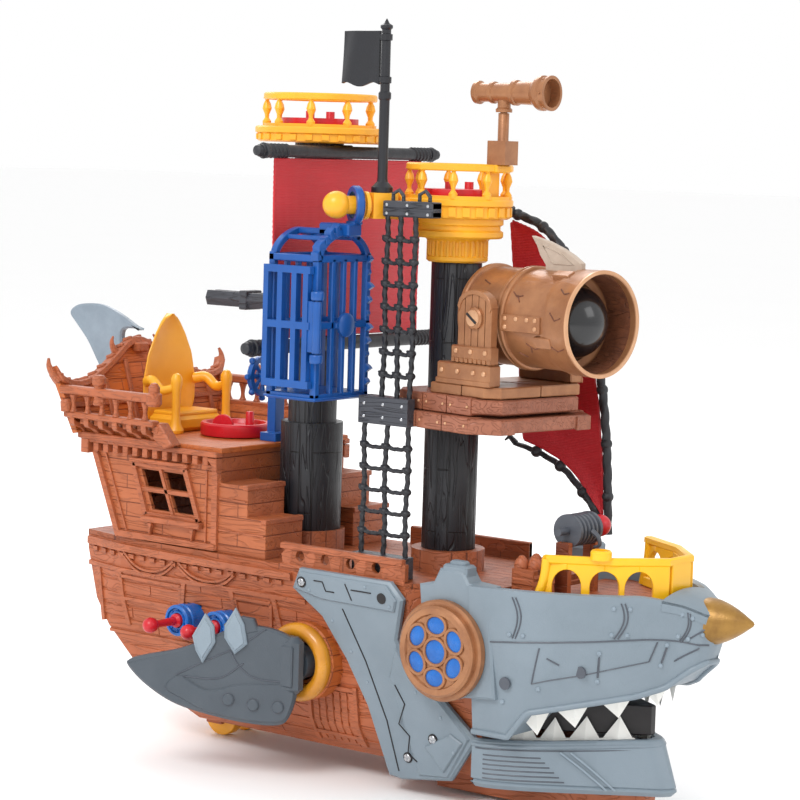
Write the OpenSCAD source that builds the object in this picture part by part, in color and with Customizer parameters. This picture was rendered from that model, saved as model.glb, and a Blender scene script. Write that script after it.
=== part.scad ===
// Toy pirate ship with a chomping shark bow, swinging side fins and a big deck cannon.
// +X points to the bow, +Y to port, +Z up. The origin is on the floor, under the
// middle of the ship's length. All sizes are in millimetres.

/* [Hull] */
// Wall thickness of the moulded shells
wall = 2.6; // [2.2:0.2:3.2]
// Half width of the hull at the deck
half_beam = 59.5; // [59:0.5:60]
// Height of the deck's underside
hull_top = 115;
// Thickness of the deck and the castle floor
deck_t = 3; // [2.6:0.2:3.4]

/* [Castle] */
// Height of the castle floor
castle_z = 178;
// Half width of the cabin
cabin_half = 55; // [53:1:56]

/* [Masts] */
// Place of the rear mast along the ship
rear_mast_x = -51;
// Place of the fore mast along the ship
fore_mast_x = 50;
// Radius of the upper part of both masts
mast_r = 14; // [13:0.5:14.5]
// Height of the top nest's floor
top_nest_z = 352;
// Height of the fore nest's collar
fore_nest_z = 289;

/* [Shark] */
// Place of the jaw pivot along the ship
jaw_x = 100;
// Height of the jaw pivot
jaw_z = 88;
// Radius of the round eye covers
eye_r = 27; // [24:1:27]
// Length of the strip of teeth on each side
teeth_len = 66; // [60:1:68]

/* [Cannon] */
// Height of the cannon's axis
cannon_z = 262;
// Distance of the cannon's trunnions from the fore mast's axis
cannon_x = 50.4;
// Turn of the platform and cannon about the fore mast, in degrees
turret_turn = -9; // [-12:1:0]
// Outer radius of the barrel
barrel_r = 26.5; // [26:0.1:26.8]
// Radius of the bore behind its wide mouth
bore_r = 21; // [20.5:0.1:21.5]

/* [Fins and wheels] */
// Place of the side fins' shafts along the ship
fin_x = -3;
// Height of the side fins' shafts
fin_z = 66;
// Radius of the rear wheels
rear_wheel_r = 12; // [11:0.5:12]
// Radius of the front wheels
front_wheel_r = 10; // [9:0.5:10]

/* [Fits] */
// Radial clearance of every turning pin
fit = 0.05; // [0.02:0.01:0.1]

/* [Hidden] */
$fn = 64;

deck_z = hull_top + deck_t;             // top of the main deck
hull_bottom = 14;                       // underside of the hull
hull_front = 112;                       // flat front of the hull, inside the mouth
stern_x = -185;                         // aft end of the hull
big = 600;                              // larger than the ship, for cutting
rear_axle_x = -105;                     // place of the rear axle
front_axle_x = 100;                     // place of the front axle
axle_r = 2;                             // radius of both steel axles
dart_xs = [-90, -61];                   // places of the two side cannons
dart_z = 78;                            // height of the side cannons
side_cannon_r = 9;                      // their outer radius
dart_r = 4;                             // radius of a dart's shaft
fin_shaft_r = 10;                       // radius of a fin's shaft
ring_r = 22;                            // outer radius of the ring round it
head_pin_r = 4;                         // radius of the jaw pins
trunnion_r = 3;                         // radius of the cannon's pins
pad_x = -110;                           // centre of the power pad
wheel_x = -90;                          // plane of the ship's wheel
wheel_z = 215;                          // height of its hub
boom_len = 71;                          // from the fore mast's axis to the boom's tip
boom_turn = -122;                       // its direction, turned from forward
boom_z = 319;                           // height of its axis
boom_r = 5;                             // radius of its bar
hook_at = 60;                           // distance of the cage hook along the boom
cage_x = [-18, 17];                     // aft and front faces of the cage
cage_y = [-80, -34];                    // outer and inner faces of the cage
cage_z = [213, 292];                    // floor and side rails of the cage
cage_mid_y = (cage_y[0] + cage_y[1]) / 2;

BROWN = [0.70, 0.36, 0.20];
GRAY = [0.55, 0.60, 0.64];
YELLOW = [0.95, 0.70, 0.15];
RED = [0.78, 0.10, 0.14];
BLUE = [0.10, 0.42, 0.75];
BLACK = [0.12, 0.12, 0.13];
COPPER = [0.68, 0.46, 0.31];
WHITE = [0.93, 0.92, 0.88];
STEEL = [0.70, 0.70, 0.72];

// ---- helpers ----------------------------------------------------------------------

// A box between two corners
module box(low, high) {
    translate(low) cube(high - low);
}

// An outline in X and Z, extruded from y0 to y1
module side_prism(points, y0, y1) {
    translate([0, y1, 0]) rotate([90, 0, 0]) linear_extrude(y1 - y0) polygon(points);
}

// An outline in Y and Z, extruded from x0 to x1
module cross_prism(points, x0, x1) {
    translate([x0, 0, 0]) rotate([90, 0, 90]) linear_extrude(x1 - x0) polygon(points);
}

// A round bar along X, Y or Z
module bar_x(y, z, r, x0, x1) {
    translate([x0, y, z]) rotate([0, 90, 0]) cylinder(h = x1 - x0, r = r);
}
module bar_y(x, z, r, y0, y1) {
    translate([x, y1, z]) rotate([90, 0, 0]) cylinder(h = y1 - y0, r = r);
}
module bar_z(x, y, r, z0, z1) {
    translate([x, y, z0]) cylinder(h = z1 - z0, r = r);
}

// The children, and their mirror image on the other side of the ship
module both_sides() {
    children();
    mirror([0, 1, 0]) children();
}

// An outline on one side, closed with its mirror image
function mirrored(half) = concat(half, [for (i = [len(half) - 1:-1:0]) [half[i][0], -half[i][1]]]);

// ---- hull -------------------------------------------------------------------------

// Side, plan and section outlines of the hull, drawn in by t
function hull_side(t) = [[stern_x + t, hull_top + 3 * t], [stern_x + t, 107], [-175 + t, 78 + t],
    [-144 + t, 45 + t], [-103, hull_bottom + t], [hull_front - t, hull_bottom + t],
    [hull_front - t, hull_top + 3 * t]];
function hull_plan(t) = mirrored([[stern_x, 46 - t], [-150, 54 - t], [-100, half_beam - 1.5 - t],
    [-60, half_beam - t], [66, half_beam - t], [72, 53 - t], [hull_front, 52 - t]]);
function hull_section(t) = mirrored([[hull_top + 20, half_beam + 3 - t], [30, 46 - t],
    [hull_bottom, 34 - t]]);

// The hull's form, drawn in by t
module hull_form(t) {
    section = [for (p = hull_section(t)) [p[1], p[0]]];
    intersection() {
        side_prism(hull_side(t), -80, 80);
        translate([0, 0, -1]) linear_extrude(200) polygon(hull_plan(t));
        cross_prism(section, stern_x, hull_front);
    }
}

// Everything that is cut out of both hull shells
module hull_cuts() {
    hull_form(wall);
    box([-big, -big, hull_top], [big, big, big]);
    box([rear_axle_x - 14, -16, 0], [rear_axle_x + 14, 16, 28]);
    box([front_axle_x - 12, -14, 0], [front_axle_x + 13, 14, 22]);
    bar_y(fin_x, fin_z, ring_r, -80, 80);
    for (x = dart_xs) bar_y(x, dart_z, side_cannon_r, -80, 80);
    bar_y(jaw_x, jaw_z, head_pin_r, -80, 80);
}

// One hull shell; side is -1 for starboard and 1 for port
module hull_shell(side) {
    difference() {
        union() {
            hull_form(0);
            box([rear_axle_x - 6, 17 * side - 2, 8], [rear_axle_x + 6, 17 * side + 2, 15]);
        }
        hull_cuts();
        bar_y(rear_axle_x, rear_wheel_r, axle_r + fit, -30, 30);
        box([-big, side < 0 ? 0 : -big, -big], [big, side < 0 ? big : 0, big]);
    }
}

module starboard_hull() {
    color(BROWN) hull_shell(-1);
}

module port_hull() {
    color(BROWN) hull_shell(1);
}

// Long shoe under the hull and jaw, which holds the front axle
module keel_shoe() {
    shoe = mirrored([[67, 26], [140, 22], [175, 12], [189, 5]]);
    color(BROWN) difference() {
        translate([0, 0, 2]) linear_extrude(hull_bottom - 2) polygon(shoe);
        box([front_axle_x - 12, -14, 0], [front_axle_x + 13, 14, 30]);
        bar_y(front_axle_x, front_wheel_r, axle_r + fit, -40, 40);
    }
}

// Main deck with its bulwarks and mast collars
module main_deck() {
    plan = mirrored([[stern_x, 46], [-150, 54], [-100, half_beam - 1.5], [-60, 59], [66, 59],
        [72, 53], [110, 52]]);
    color(BROWN) difference() {
        union() {
            translate([0, 0, hull_top]) linear_extrude(deck_t) polygon(plan);
            both_sides() difference() {
                box([-20, 56, deck_z - 1], [66, 59, deck_z + 10]);
                for (x = [-8:18:50]) bar_y(x, deck_z + 6, 3, 50, 70);
            }
            bar_z(rear_mast_x, 0, 20.5, deck_z - 1, deck_z + 12);
            bar_z(fore_mast_x, 0, 20.5, deck_z - 1, deck_z + 12);
        }
        bar_z(rear_mast_x, 0, 18, deck_z, deck_z + 20);
        bar_z(fore_mast_x, 0, 15, deck_z, deck_z + 20);
    }
}

// ---- castle -----------------------------------------------------------------------

// Cabin shell, with raked stern, side windows and three-step stairs beside the mast
module cabin() {
    castle_low = castle_z - deck_t;
    outer = [[-148, deck_z], [-172, castle_low], [-72, castle_low], [-72, deck_z]];
    inner = [[-144, deck_z - 1], [-168, castle_low + 1], [-75, castle_low + 1], [-75, deck_z - 1]];
    steps = [[-73, deck_z], [-73, 158], [-51, 158], [-51, 140], [-37, 140], [-37, deck_z]];
    under = [[-75, deck_z - 1], [-75, 155], [-54, 155], [-54, 137], [-40, 137], [-40, deck_z - 1]];
    color(BROWN) difference() {
        union() {
            side_prism(outer, -cabin_half, cabin_half);
            both_sides() side_prism(steps, 23, cabin_half);
        }
        side_prism(inner, wall - cabin_half, cabin_half - wall);
        both_sides() side_prism(under, 23 + wall, cabin_half - wall);
        for (row = [0, 1], col = [0, 1]) translate([-130 + 5.5 * row + 18 * col, 0, 150 - 13 * row])
            side_prism([[0, 0], [-4, 10], [11, 10], [15, 0]], -80, 80);
    }
}

// Castle floor with the flared side galleries
module castle_deck() {
    gallery = [[52, castle_z], [57, castle_z - 3], [70, 187], [71, 205], [67, 205], [66, 189]];
    color([0.80, 0.42, 0.20]) difference() {
        union() {
            box([-176, -57, castle_z - deck_t], [-70, 57, castle_z]);
            both_sides() cross_prism(gallery, -182, -103);
        }
        side_prism([[-176, 160], [-176, castle_z], [-189, 218], [-230, 218], [-230, 160]], -80, 80);
        bar_z(pad_x, 0, 4 + fit, 160, 200);
        bar_z(rear_mast_x, 0, 18, 160, 200);
    }
}

// Stern wall with the curved, horned roof line and the lugs of the tail fin
module stern_wall() {
    half = [[72, 178], [72, 222], [64, 214], [50, 209], [34, 211], [22, 218], [12, 228], [0, 231]];
    outline = concat(half, [for (i = [6:-1:0]) [-half[i][0], half[i][1]]]);
    color([0.80, 0.42, 0.20]) difference() {
        union() {
            translate([-176, 0, 178]) rotate([0, -18, 0]) translate([0, 0, -178])
                cross_prism(outline, -4, 0);
            for (z = [196, 222]) box([-202, -5, z], [-186, 5, z + 6]);
        }
        bar_z(-200, 0, 1.5 + fit, 150, 300);
        box([-176, -57, 160], [-100, 57, 300]);
    }
}

// Captain's chair with a tall pointed back and two arms
module captain_chair() {
    back = [[0, 246], [8, 240], [16, 228], [22, 212], [22, castle_z]];
    outline = concat(back, [for (i = [4:-1:1]) [-back[i][0], back[i][1]]]);
    color(YELLOW) {
        cross_prism(outline, -167, -162);
        box([-162, -20, castle_z], [-138, 20, 189]);
        both_sides() {
            box([-162, 20, castle_z], [-136, 24, 196]);
            box([-140, 20, 196], [-136, 24, 210]);
            box([-162, 20, 204], [-136, 24, 208]);
        }
    }
}

// Red disc with two pegs that works the shark's jaw
module power_pad() {
    color(RED) {
        bar_z(pad_x, 0, 21, castle_z + 0.4, 186);
        bar_z(pad_x, 0, 4, castle_z - 6, castle_z + 1);
        for (y = [-9, 9]) bar_z(pad_x, y, 2.5, 185, 192);
    }
}

// Post that carries the ship's wheel
module wheel_post() {
    color(BLUE) difference() {
        union() {
            box([-84, -8, castle_z], [-72, 8, castle_z + 5]);
            box([-82, -4, castle_z], [-76, 4, 221]);
        }
        bar_x(0, wheel_z, 2 + fit, -100, -60);
    }
}

// Spoked wheel on its own shaft
module ship_wheel() {
    color(BLUE) {
        difference() {
            bar_x(0, wheel_z, 12, -92, -88);
            bar_x(0, wheel_z, 9, -93, -87);
        }
        bar_x(0, wheel_z, 4, -93, -84);
        bar_x(0, wheel_z, 2, -86, -74);
        for (a = [0:45:179]) translate([-90, 0, wheel_z]) rotate([a, 0, 0])
            box([-1.3, -1.3, -15], [1.3, 1.3, 15]);
    }
}

// Caudal fin behind the stern, on an upright pin
module tail_fin() {
    outline = [[-202, 203], [-202, 219], [-216, 248], [-232, 244], [-249, 239], [-236, 230],
        [-224, 215], [-216, 204]];
    color(GRAY) difference() {
        union() {
            side_prism(outline, -2.5, 2.5);
            bar_z(-200, 0, 4, 202.4, 221.6);
        }
        bar_z(-200, 0, 1.5 + fit, 150, 300);
    }
}

// ---- masts and rigging ------------------------------------------------------------

module rear_mast() {
    color(BLACK) {
        bar_z(rear_mast_x, 0, 18, deck_z, 192);
        bar_z(rear_mast_x, 0, mast_r, 190, top_nest_z);
    }
}

module fore_mast() {
    color(BLACK) {
        bar_z(fore_mast_x, 0, 15, deck_z, 201);
        bar_z(fore_mast_x, 0, mast_r, 200, fore_nest_z);
    }
}

// A round nest: floor disc, balusters and rail, with a hole for the pad's pin
module nest(floor_r, rail_r, floor_z, floor_top, rail_top) {
    difference() {
        union() {
            bar_z(0, 0, floor_r, floor_z, floor_top);
            for (a = [20:40:359]) rotate(a) translate([rail_r - 2, 0, 0])
                bar_z(0, 0, 1.6, floor_top - 1, rail_top - 1);
            difference() {
                bar_z(0, 0, rail_r, rail_top - 4, rail_top);
                bar_z(0, 0, rail_r - 4, rail_top - 5, rail_top + 1);
            }
        }
        bar_z(0, 0, 3 + fit, floor_top - 4, floor_top + 1);
    }
}

// A pad that turns in a nest, with two foot pegs
module nest_pad(r, z) {
    color(RED) {
        bar_z(0, 0, r, z + 0.4, z + 5);
        bar_z(0, 0, 3, z - 3.5, z + 1);
        for (y = [-9, 9]) bar_z(0, y, 2.5, z + 4, z + 9);
    }
}

module top_nest() {
    color(YELLOW) translate([rear_mast_x, 0, 0])
        nest(37, 32.5, top_nest_z, top_nest_z + 9, 380);
}

module top_pad() {
    translate([rear_mast_x, 0, 0]) nest_pad(22, top_nest_z + 9);
}

module fore_nest() {
    color(YELLOW) translate([fore_mast_x, 0, 0]) {
        bar_z(0, 0, 17, fore_nest_z, 303);
        bar_z(0, 0, 25, 302, 314);
        nest(30, 29.5, 313, 324, 343);
    }
}

module fore_pad() {
    translate([fore_mast_x, 0, 0]) nest_pad(20, 324);
}

// Two yards that carry the rear sail, each with a block against the mast
module rear_yards() {
    color(BLACK) difference() {
        for (yard = [[347, 3.5, 82], [239, 4, 88]]) {
            bar_y(-28, yard[0], yard[1], -yard[2], yard[2]);
            box([-42, -6, yard[0] - 3], [-28, 6, yard[0] + 3]);
        }
        bar_z(rear_mast_x, 0, mast_r, 200, 400);
    }
}

module rear_sail() {
    color(RED) box([-28.6, -66, 243.1], [-27.4, 66, 343.4]);
}

// A band of width 2 r along points, with square ends
function band(p, r) = let (last = len(p) - 1,
    n = [for (i = [0:last]) let (d = p[min(i + 1, last)] - p[max(i - 1, 0)])
        r * [-d[1], d[0]] / norm(d)])
    concat([for (i = [0:last]) p[i] + n[i]], [for (i = [last:-1:0]) p[i] - n[i]]);

// Curved luff and foot spar of the jib, with a lug to the fore nest
module jib_spar() {
    luff = [[48, 318], [74, 309], [93, 290], [108, 258], [118, 220], [123, 180], [125, 139]];
    foot = [[126, 141], [112, 158], [96, 173], [80, 181], [60, 186]];
    color(BLACK) {
        translate([0, 49.2, 0]) rotate([90, 0, 0]) linear_extrude(4.4) {
            polygon(band(luff, 2.2));
            polygon(band(foot, 2.2));
        }
        difference() {
            box([50, 24, 315], [56, 47, 320]);
            bar_z(fore_mast_x, 0, 30, 300, 330);
        }
    }
}

module jib_sail() {
    outline = [[52, 312], [73, 304], [90, 287], [104, 256], [114, 220], [119.5, 180],
        [121, 150], [111, 163], [97, 176.5], [80, 184.5], [66, 188.5]];
    color(RED) side_prism(outline, 46.4, 47.6);
}

// The turret's own frame: X runs from the fore mast's axis along the barrel
module turret() {
    translate([fore_mast_x, 0, 0]) rotate(turret_turn) children();
}

// Two-tier fighting top on the fore mast
module cannon_platform() {
    upper = mirrored([[-16, 24], [-2, 38], [55, 39], [68, 29]]);
    lower = mirrored([[-20, 28], [-4, 42], [58, 44], [72, 34]]);
    color([0.60, 0.36, 0.24]) turret() difference() {
        union() {
            translate([0, 0, 210]) linear_extrude(10) polygon(upper);
            translate([0, 0, 201]) linear_extrude(10) polygon(lower);
        }
        bar_z(0, 0, mast_r, 190, 230);
    }
}

// Footing, stepped blocks and two cheeks of the big cannon
module cannon_bracket() {
    foot = mirrored([[20, 36], [60, 36], [67.7, 30]]);
    cheek = [[37, 246], [62.5, 246], [62.5, 268], [57, 276], [42, 276], [37, 268]];
    color(COPPER) turret() difference() {
        union() {
            translate([0, 0, 220]) linear_extrude(6) polygon(foot);
            both_sides() {
                box([24, 27, 226], [64, 36, 238]);
                box([34, 29, 238], [64, 35.5, 247]);
                side_prism(cheek, 29, 34);
            }
        }
        bar_y(cannon_x, cannon_z, trunnion_r, -50, 50);
        bar_y(cannon_x, cannon_z, 29, -28.9, 28.9);
    }
}

// Barrel with a domed rear end, two rings, a wide mouth and a slot for the trigger
module cannon_barrel() {
    profile = [[0, -30], [10, -29], [18, -26], [24, -22], [barrel_r, -20], [28, -20], [28, -17],
        [barrel_r, -17], [barrel_r, 9], [28, 9], [28, 12], [barrel_r, 12], [barrel_r, 43],
        [28.2, 46], [28.2, 60], [26, 60], [26, 38], [bore_r, 38], [bore_r, -4], [0, -4]];
    color(COPPER) turret() difference() {
        translate([cannon_x, 0, cannon_z]) rotate([0, 90, 0]) rotate_extrude() polygon(profile);
        bar_y(cannon_x, cannon_z, trunnion_r + fit, -50, 50);
        box([cannon_x + 15, -2.5, cannon_z + 15], [cannon_x + 47, 2.5, 300]);
    }
}

// Spring behind the ball, at its compressed size
module cannon_spring() {
    color(STEEL) turret() difference() {
        bar_x(0, cannon_z, 8, cannon_x - 3.9, cannon_x + 17.8);
        bar_x(0, cannon_z, 6.5, 35, 94);
    }
}

module cannon_ball() {
    color(BLACK) turret() translate([cannon_x + 37, 0, cannon_z]) sphere(r = 20);
}

// Fin-shaped trigger on top of the barrel, with its tip pointing aft
module firing_fin() {
    outline = [[19, 286], [45, 286], [45, 293], [31, 300], [8, 306], [14, 297], [19, 291]];
    color([0.62, 0.58, 0.54]) turret() translate([cannon_x, 0, 0]) side_prism(outline, -2, 2);
}

module telescope_post() {
    color(COPPER) {
        box([72.6, -6, 343], [84.6, 6, 356]);
        bar_z(78.6, 0, 3, 355, 371);
        bar_z(78.6, 0, 2, 370, 377);
    }
}

module telescope() {
    color(COPPER) difference() {
        union() {
            bar_x(0, 382, 6, 60, 82);
            bar_x(0, 382, 7.5, 80, 96);
            bar_x(0, 382, 9.5, 94, 110);
            bar_z(78.6, 0, 4.5, 371.4, 380);
        }
        bar_z(78.6, 0, 2 + fit, 360, 378);
        bar_x(0, 382, 7.5, 104, 111);
        bar_x(0, 382, 3.5, 59, 64);
    }
}

// The boom's own direction
module along_boom() {
    translate([fore_mast_x, 0, boom_z]) rotate(boom_turn) children();
}

// Boom with a knob, which holds up the cage and the flagpole
module boom() {
    color(YELLOW) difference() {
        along_boom() {
            bar_x(0, 0, boom_r, 26, boom_len);
            translate([boom_len, 0, 0]) sphere(r = 7.5);
            translate([38, -7, -7]) cube([14, 14, 14]);
        }
        bar_z(fore_mast_x, 0, 30, 300, 330);
    }
}

// Black pole with a flag, standing on the boom's socket
module flagpole() {
    color(BLACK) translate([fore_mast_x, 0, boom_z]) rotate(boom_turn) translate([45, 0, 7]) {
        cylinder(h = 6, r = 6);
        cylinder(h = 94, r = 2.8);
        rotate(-boom_turn) translate([-30, -1, 58]) cube([30, 2, 30]);
    }
}

// Boards at the head, middle and foot of the rope ladder
module ladder_boards() {
    color([0.25, 0.25, 0.26]) difference() {
        union() {
            box([34, -47, 314], [68, -39, 322]);
            box([44, -40, 315], [56, -20, 321]);
            box([24, -51, 201], [58, -40, 216]);
            box([24, -53, deck_z], [60, -44, 130]);
        }
        bar_z(fore_mast_x, 0, 30, 300, 330);
        turret() translate([0, 0, 190]) linear_extrude(30)
            polygon(mirrored([[-20, 28], [-4, 42], [58, 44], [72, 34]]));
    }
}

// One net of upright ropes and rungs, between two heights
module net(x0, x1, y, z0, z1, rungs) {
    for (i = [0:2]) bar_z(x0 + i * (x1 - x0) / 2, y, 2, z0, z1);
    for (i = [1:rungs]) bar_x(y, z0 + i * (z1 - z0) / (rungs + 1), 1.8, x0, x1);
}

module rope_nets() {
    color(BLACK) {
        net(37, 56, -46.2, 216, 314, 7);
        net(27, 57, -48, 130, 201, 5);
    }
}

// Two-barrel block on the aft side of the rear mast
module twin_launcher() {
    color([0.22, 0.23, 0.25]) difference() {
        box([-131, -6, 254], [-60, 6, 264]);
        bar_z(rear_mast_x, 0, mast_r, 200, 400);
        for (y = [-2.8, 2.8]) bar_x(y, 259, 2, -132, -110);
    }
}

// ---- shark ------------------------------------------------------------------------

// Armour plates over the hull, behind the jaw
module neck_plates() {
    outline = [[-10, 107], [-4, 119], [60, 119], [68, 110], [62, 87], [72, 68], [91, 57],
        [112, 38], [93, 12], [59, 7], [50, 8], [38, 46], [25, 71], [10, 93]];
    color(GRAY) both_sides() translate([0, 60.2, 119]) rotate([-8.75, 0, 0])
        translate([0, 0, -119]) side_prism(outline, 0, 5);
}

// The jaw's outer form: wide at the top, narrower at the lip
module head_form() {
    top = mirrored([[116, 69], [125, 68], [160, 57], [190, 38], [215, 16], [232, 10]]);
    low = mirrored([[116, 61], [138, 60], [150, 53], [185, 24], [200, 9], [206, 6]]);
    profile = [[112, 46], [138, 46], [148, 61], [194, 71], [205, 75], [228, 99], [228, 118],
        [215, 124], [160, 122], [112, 120]];
    intersection() {
        hull() {
            translate([0, 0, 124]) linear_extrude(1) polygon(top);
            translate([0, 0, 40]) linear_extrude(1) polygon(low);
        }
        side_prism(profile, -90, 90);
    }
}

// The room inside the jaw, open at its rear, at the deck and at the mouth
module head_room() {
    hull() {
        translate([0, 0, 130]) linear_extrude(1)
            polygon(mirrored([[100, 65.5], [125, 64.5], [158, 54], [186, 36], [206, 16]]));
        translate([0, 0, 38]) linear_extrude(1)
            polygon(mirrored([[100, 57], [136, 56], [147, 49.5], [181, 21], [194, 6]]));
    }
}

// Side cheeks of the upper jaw, round the pivot
module cheeks() {
    outline = [[84, 100], [81.5, 121], [91, 123], [95, 131], [110, 131], [114, 125], [127, 125],
        [134, 66], [112, 64]];
    both_sides() {
        side_prism(outline, 54, 67);
        bar_y(jaw_x, jaw_z, eye_r, 54, 67);
    }
}

module shark_head() {
    color(GRAY) difference() {
        union() {
            difference() {
                head_form();
                head_room();
            }
            cheeks();
        }
        bar_y(jaw_x, jaw_z, head_pin_r + fit, -80, 80);
    }
}

// Deck inside the jaw's rim, with a chest
module bow_deck() {
    color(BROWN) difference() {
        intersection() {
            head_room();
            box([120, -90, 111], [220, 90, 115]);
        }
        cheeks();
    }
    color(BROWN) {
        box([124, -42, 114.5], [138, -22, 132]);
        for (y = [-15, 11]) box([133, y, 114.5], [141, y + 4, 144]);
    }
}

// Ribbed drum with a knob, between two posts of the bow deck
module winch_drum() {
    color(GRAY) {
        bar_y(137, 150, 9, -10.7, 10.7);
        bar_y(137, 150, 2, -19, 19);
        translate([137, 21, 150]) sphere(r = 6);
    }
}

// Curved railing round the bow
module bow_rail() {
    outer = mirrored([[152, 51], [182, 33.5], [203, 11.5]]);
    inner = mirrored([[148, 48.5], [179.5, 30.5], [200, 9]]);
    color(YELLOW) difference() {
        translate([0, 0, 115]) linear_extrude(28) polygon(outer);
        translate([0, 0, 110]) linear_extrude(40) polygon(inner);
        for (side = [-1, 1], x = [161, 176]) translate([x, 0, 129]) rotate([0, 0, 33 * side])
            translate([0, side < 0 ? -90 : 0, -8]) cube([9, 90, 16]);
        box([190, -10, 121], [230, 10, 137]);
    }
}

// Pointed metal cap on the shark's nose
module nose_cap() {
    color([0.72, 0.56, 0.30]) difference() {
        translate([222, 0, 107]) rotate([0, 71, 0]) cylinder(h = 28, r1 = 11, r2 = 2);
        box([100, -50, 50], [228, 50, 200]);
    }
}

// A strip with pointed teeth. It runs from one plan point, turned by turn; its root
// climbs by rise, and its points hang down or stand up by height.
module tooth_strip(start, turn, length, root_z, rise, height, count) {
    pitch = length / count;
    tips = [for (i = [0:count - 1], j = [0, 1])
        let (s = (i + j / 2) * pitch) [s, root_z + rise * s / length + j * height]];
    roots = [[length, root_z + rise], [length, root_z + rise - sign(height) * 5],
        [0, root_z - sign(height) * 5]];
    translate([start[0], start[1], 0]) rotate(turn) rotate([90, 0, 0])
        linear_extrude(3, center = true) polygon(concat(tips, roots));
}

module upper_teeth() {
    color(WHITE) both_sides()
        tooth_strip([143, 52], -39.5, teeth_len, 54, 20, -15, 4);
}

module lower_teeth() {
    color(WHITE) both_sides()
        tooth_strip([128, 45.5], -34.5, teeth_len, 40, 2, 14, 4);
}

// Lower jaw, a tray pointed at its front
module lower_jaw() {
    outer = mirrored([[112.1, 57], [122, 56], [150, 42], [180, 21], [200, 7], [205, 3]]);
    inner = mirrored([[116, 52], [121, 51], [148, 37.5], [177, 16.5], [194, 4]]);
    profile = [[110, 18], [168, 15], [196, 20], [206, 24], [199, 45], [117, 41], [110, 41]];
    color(GRAY) difference() {
        intersection() {
            linear_extrude(80) polygon(outer);
            side_prism(profile, -80, 80);
        }
        translate([0, 0, 21]) linear_extrude(80) polygon(inner);
    }
}

// Round copper covers over the jaw pivots
module eye_covers() {
    color(COPPER) both_sides() difference() {
        union() {
            bar_y(jaw_x, jaw_z, eye_r, 67, 72);
            bar_y(jaw_x, jaw_z, eye_r - 3, 71, 76);
        }
        bar_y(jaw_x, jaw_z, 19, 68.5, 80);
    }
}

module eye_lenses() {
    color(BLUE) both_sides() bar_y(jaw_x, jaw_z, 19, 68.5, 74.5);
}

// ---- fins, side cannons and running gear --------------------------------------------

// One side fin, drawn on the starboard side: shaft, root block and swept armour panel
module side_fin() {
    panel = [[87, 60], [77, 66], [49, 74], [44, 92], [38, 78], [34, 80], [27, 96], [20, 86],
        [8, 82], [-9, 78], [-4, 38], [2, 33], [25, 34], [54, 39], [68, 43], [80, 51]];
    bar_y(fin_x, fin_z, fin_shaft_r, -68, -46);
    box([fin_x - 12, -78, 50], [fin_x + 10, -66, 82]);
    translate([fin_x, -76, 0]) rotate(209) rotate([90, 0, 0])
        linear_extrude(6, center = true) polygon(panel);
}

module starboard_fin() {
    color(GRAY) side_fin();
}

module port_fin() {
    color(GRAY) mirror([0, 1, 0]) side_fin();
}

module fin_rings() {
    color(YELLOW) both_sides() difference() {
        bar_y(fin_x, fin_z, ring_r, 47, 64);
        bar_y(fin_x, fin_z, fin_shaft_r + fit, 40, 70);
        bar_y(fin_x, fin_z, ring_r - 6, 60, 70);
    }
}

module side_cannons() {
    color(BLUE) both_sides() for (x = dart_xs) difference() {
        bar_y(x, dart_z, side_cannon_r, 46, 70);
        bar_y(x, dart_z, dart_r + fit, 50, 80);
    }
}

// One dart: shaft and round tip
module dart(x) {
    color(RED) {
        bar_y(x, dart_z, dart_r, -90, -55);
        translate([x, -91, dart_z]) sphere(r = 4.5);
    }
}

module aft_dart() {
    dart(dart_xs[0]);
}

module fore_dart() {
    dart(dart_xs[1]);
}

// Two wheels, pressed on an axle
module wheel_pair(x, r, y0, y1) {
    color(YELLOW) both_sides() difference() {
        bar_y(x, r, r, y0, y1);
        bar_y(x, r, axle_r, y0 - 1, y1 + 1);
    }
}

module rear_wheels() {
    wheel_pair(rear_axle_x, rear_wheel_r, 6, 13);
}

module front_wheels() {
    wheel_pair(front_axle_x, front_wheel_r, 5, 11);
}

module rear_axle() {
    color(STEEL) bar_y(rear_axle_x, rear_wheel_r, axle_r, -20, 20);
}

module front_axle() {
    color(STEEL) bar_y(front_axle_x, front_wheel_r, axle_r, -21, 21);
}

// Screws that hold the neck plates to the hull
module hull_screws() {
    spots = [[-1, 112], [84, 36], [65, 21]];
    color(STEEL) both_sides() for (s = spots)
        translate([0, 60.2, 119]) rotate([-8.75, 0, 0]) translate([0, 0, -119])
            bar_y(s[0], s[1], 2.5, 5, 6);
}

// Pins of the jaw, the cannon and the tail fin
module pivot_pins() {
    color(STEEL) {
        both_sides() bar_y(jaw_x, jaw_z, head_pin_r, 44, 66.5);
        turret() both_sides() bar_y(cannon_x, cannon_z, trunnion_r, 21.5, 34);
        bar_z(-200, 0, 1.5, 196, 228);
    }
}

// ---- cage -------------------------------------------------------------------------

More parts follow.
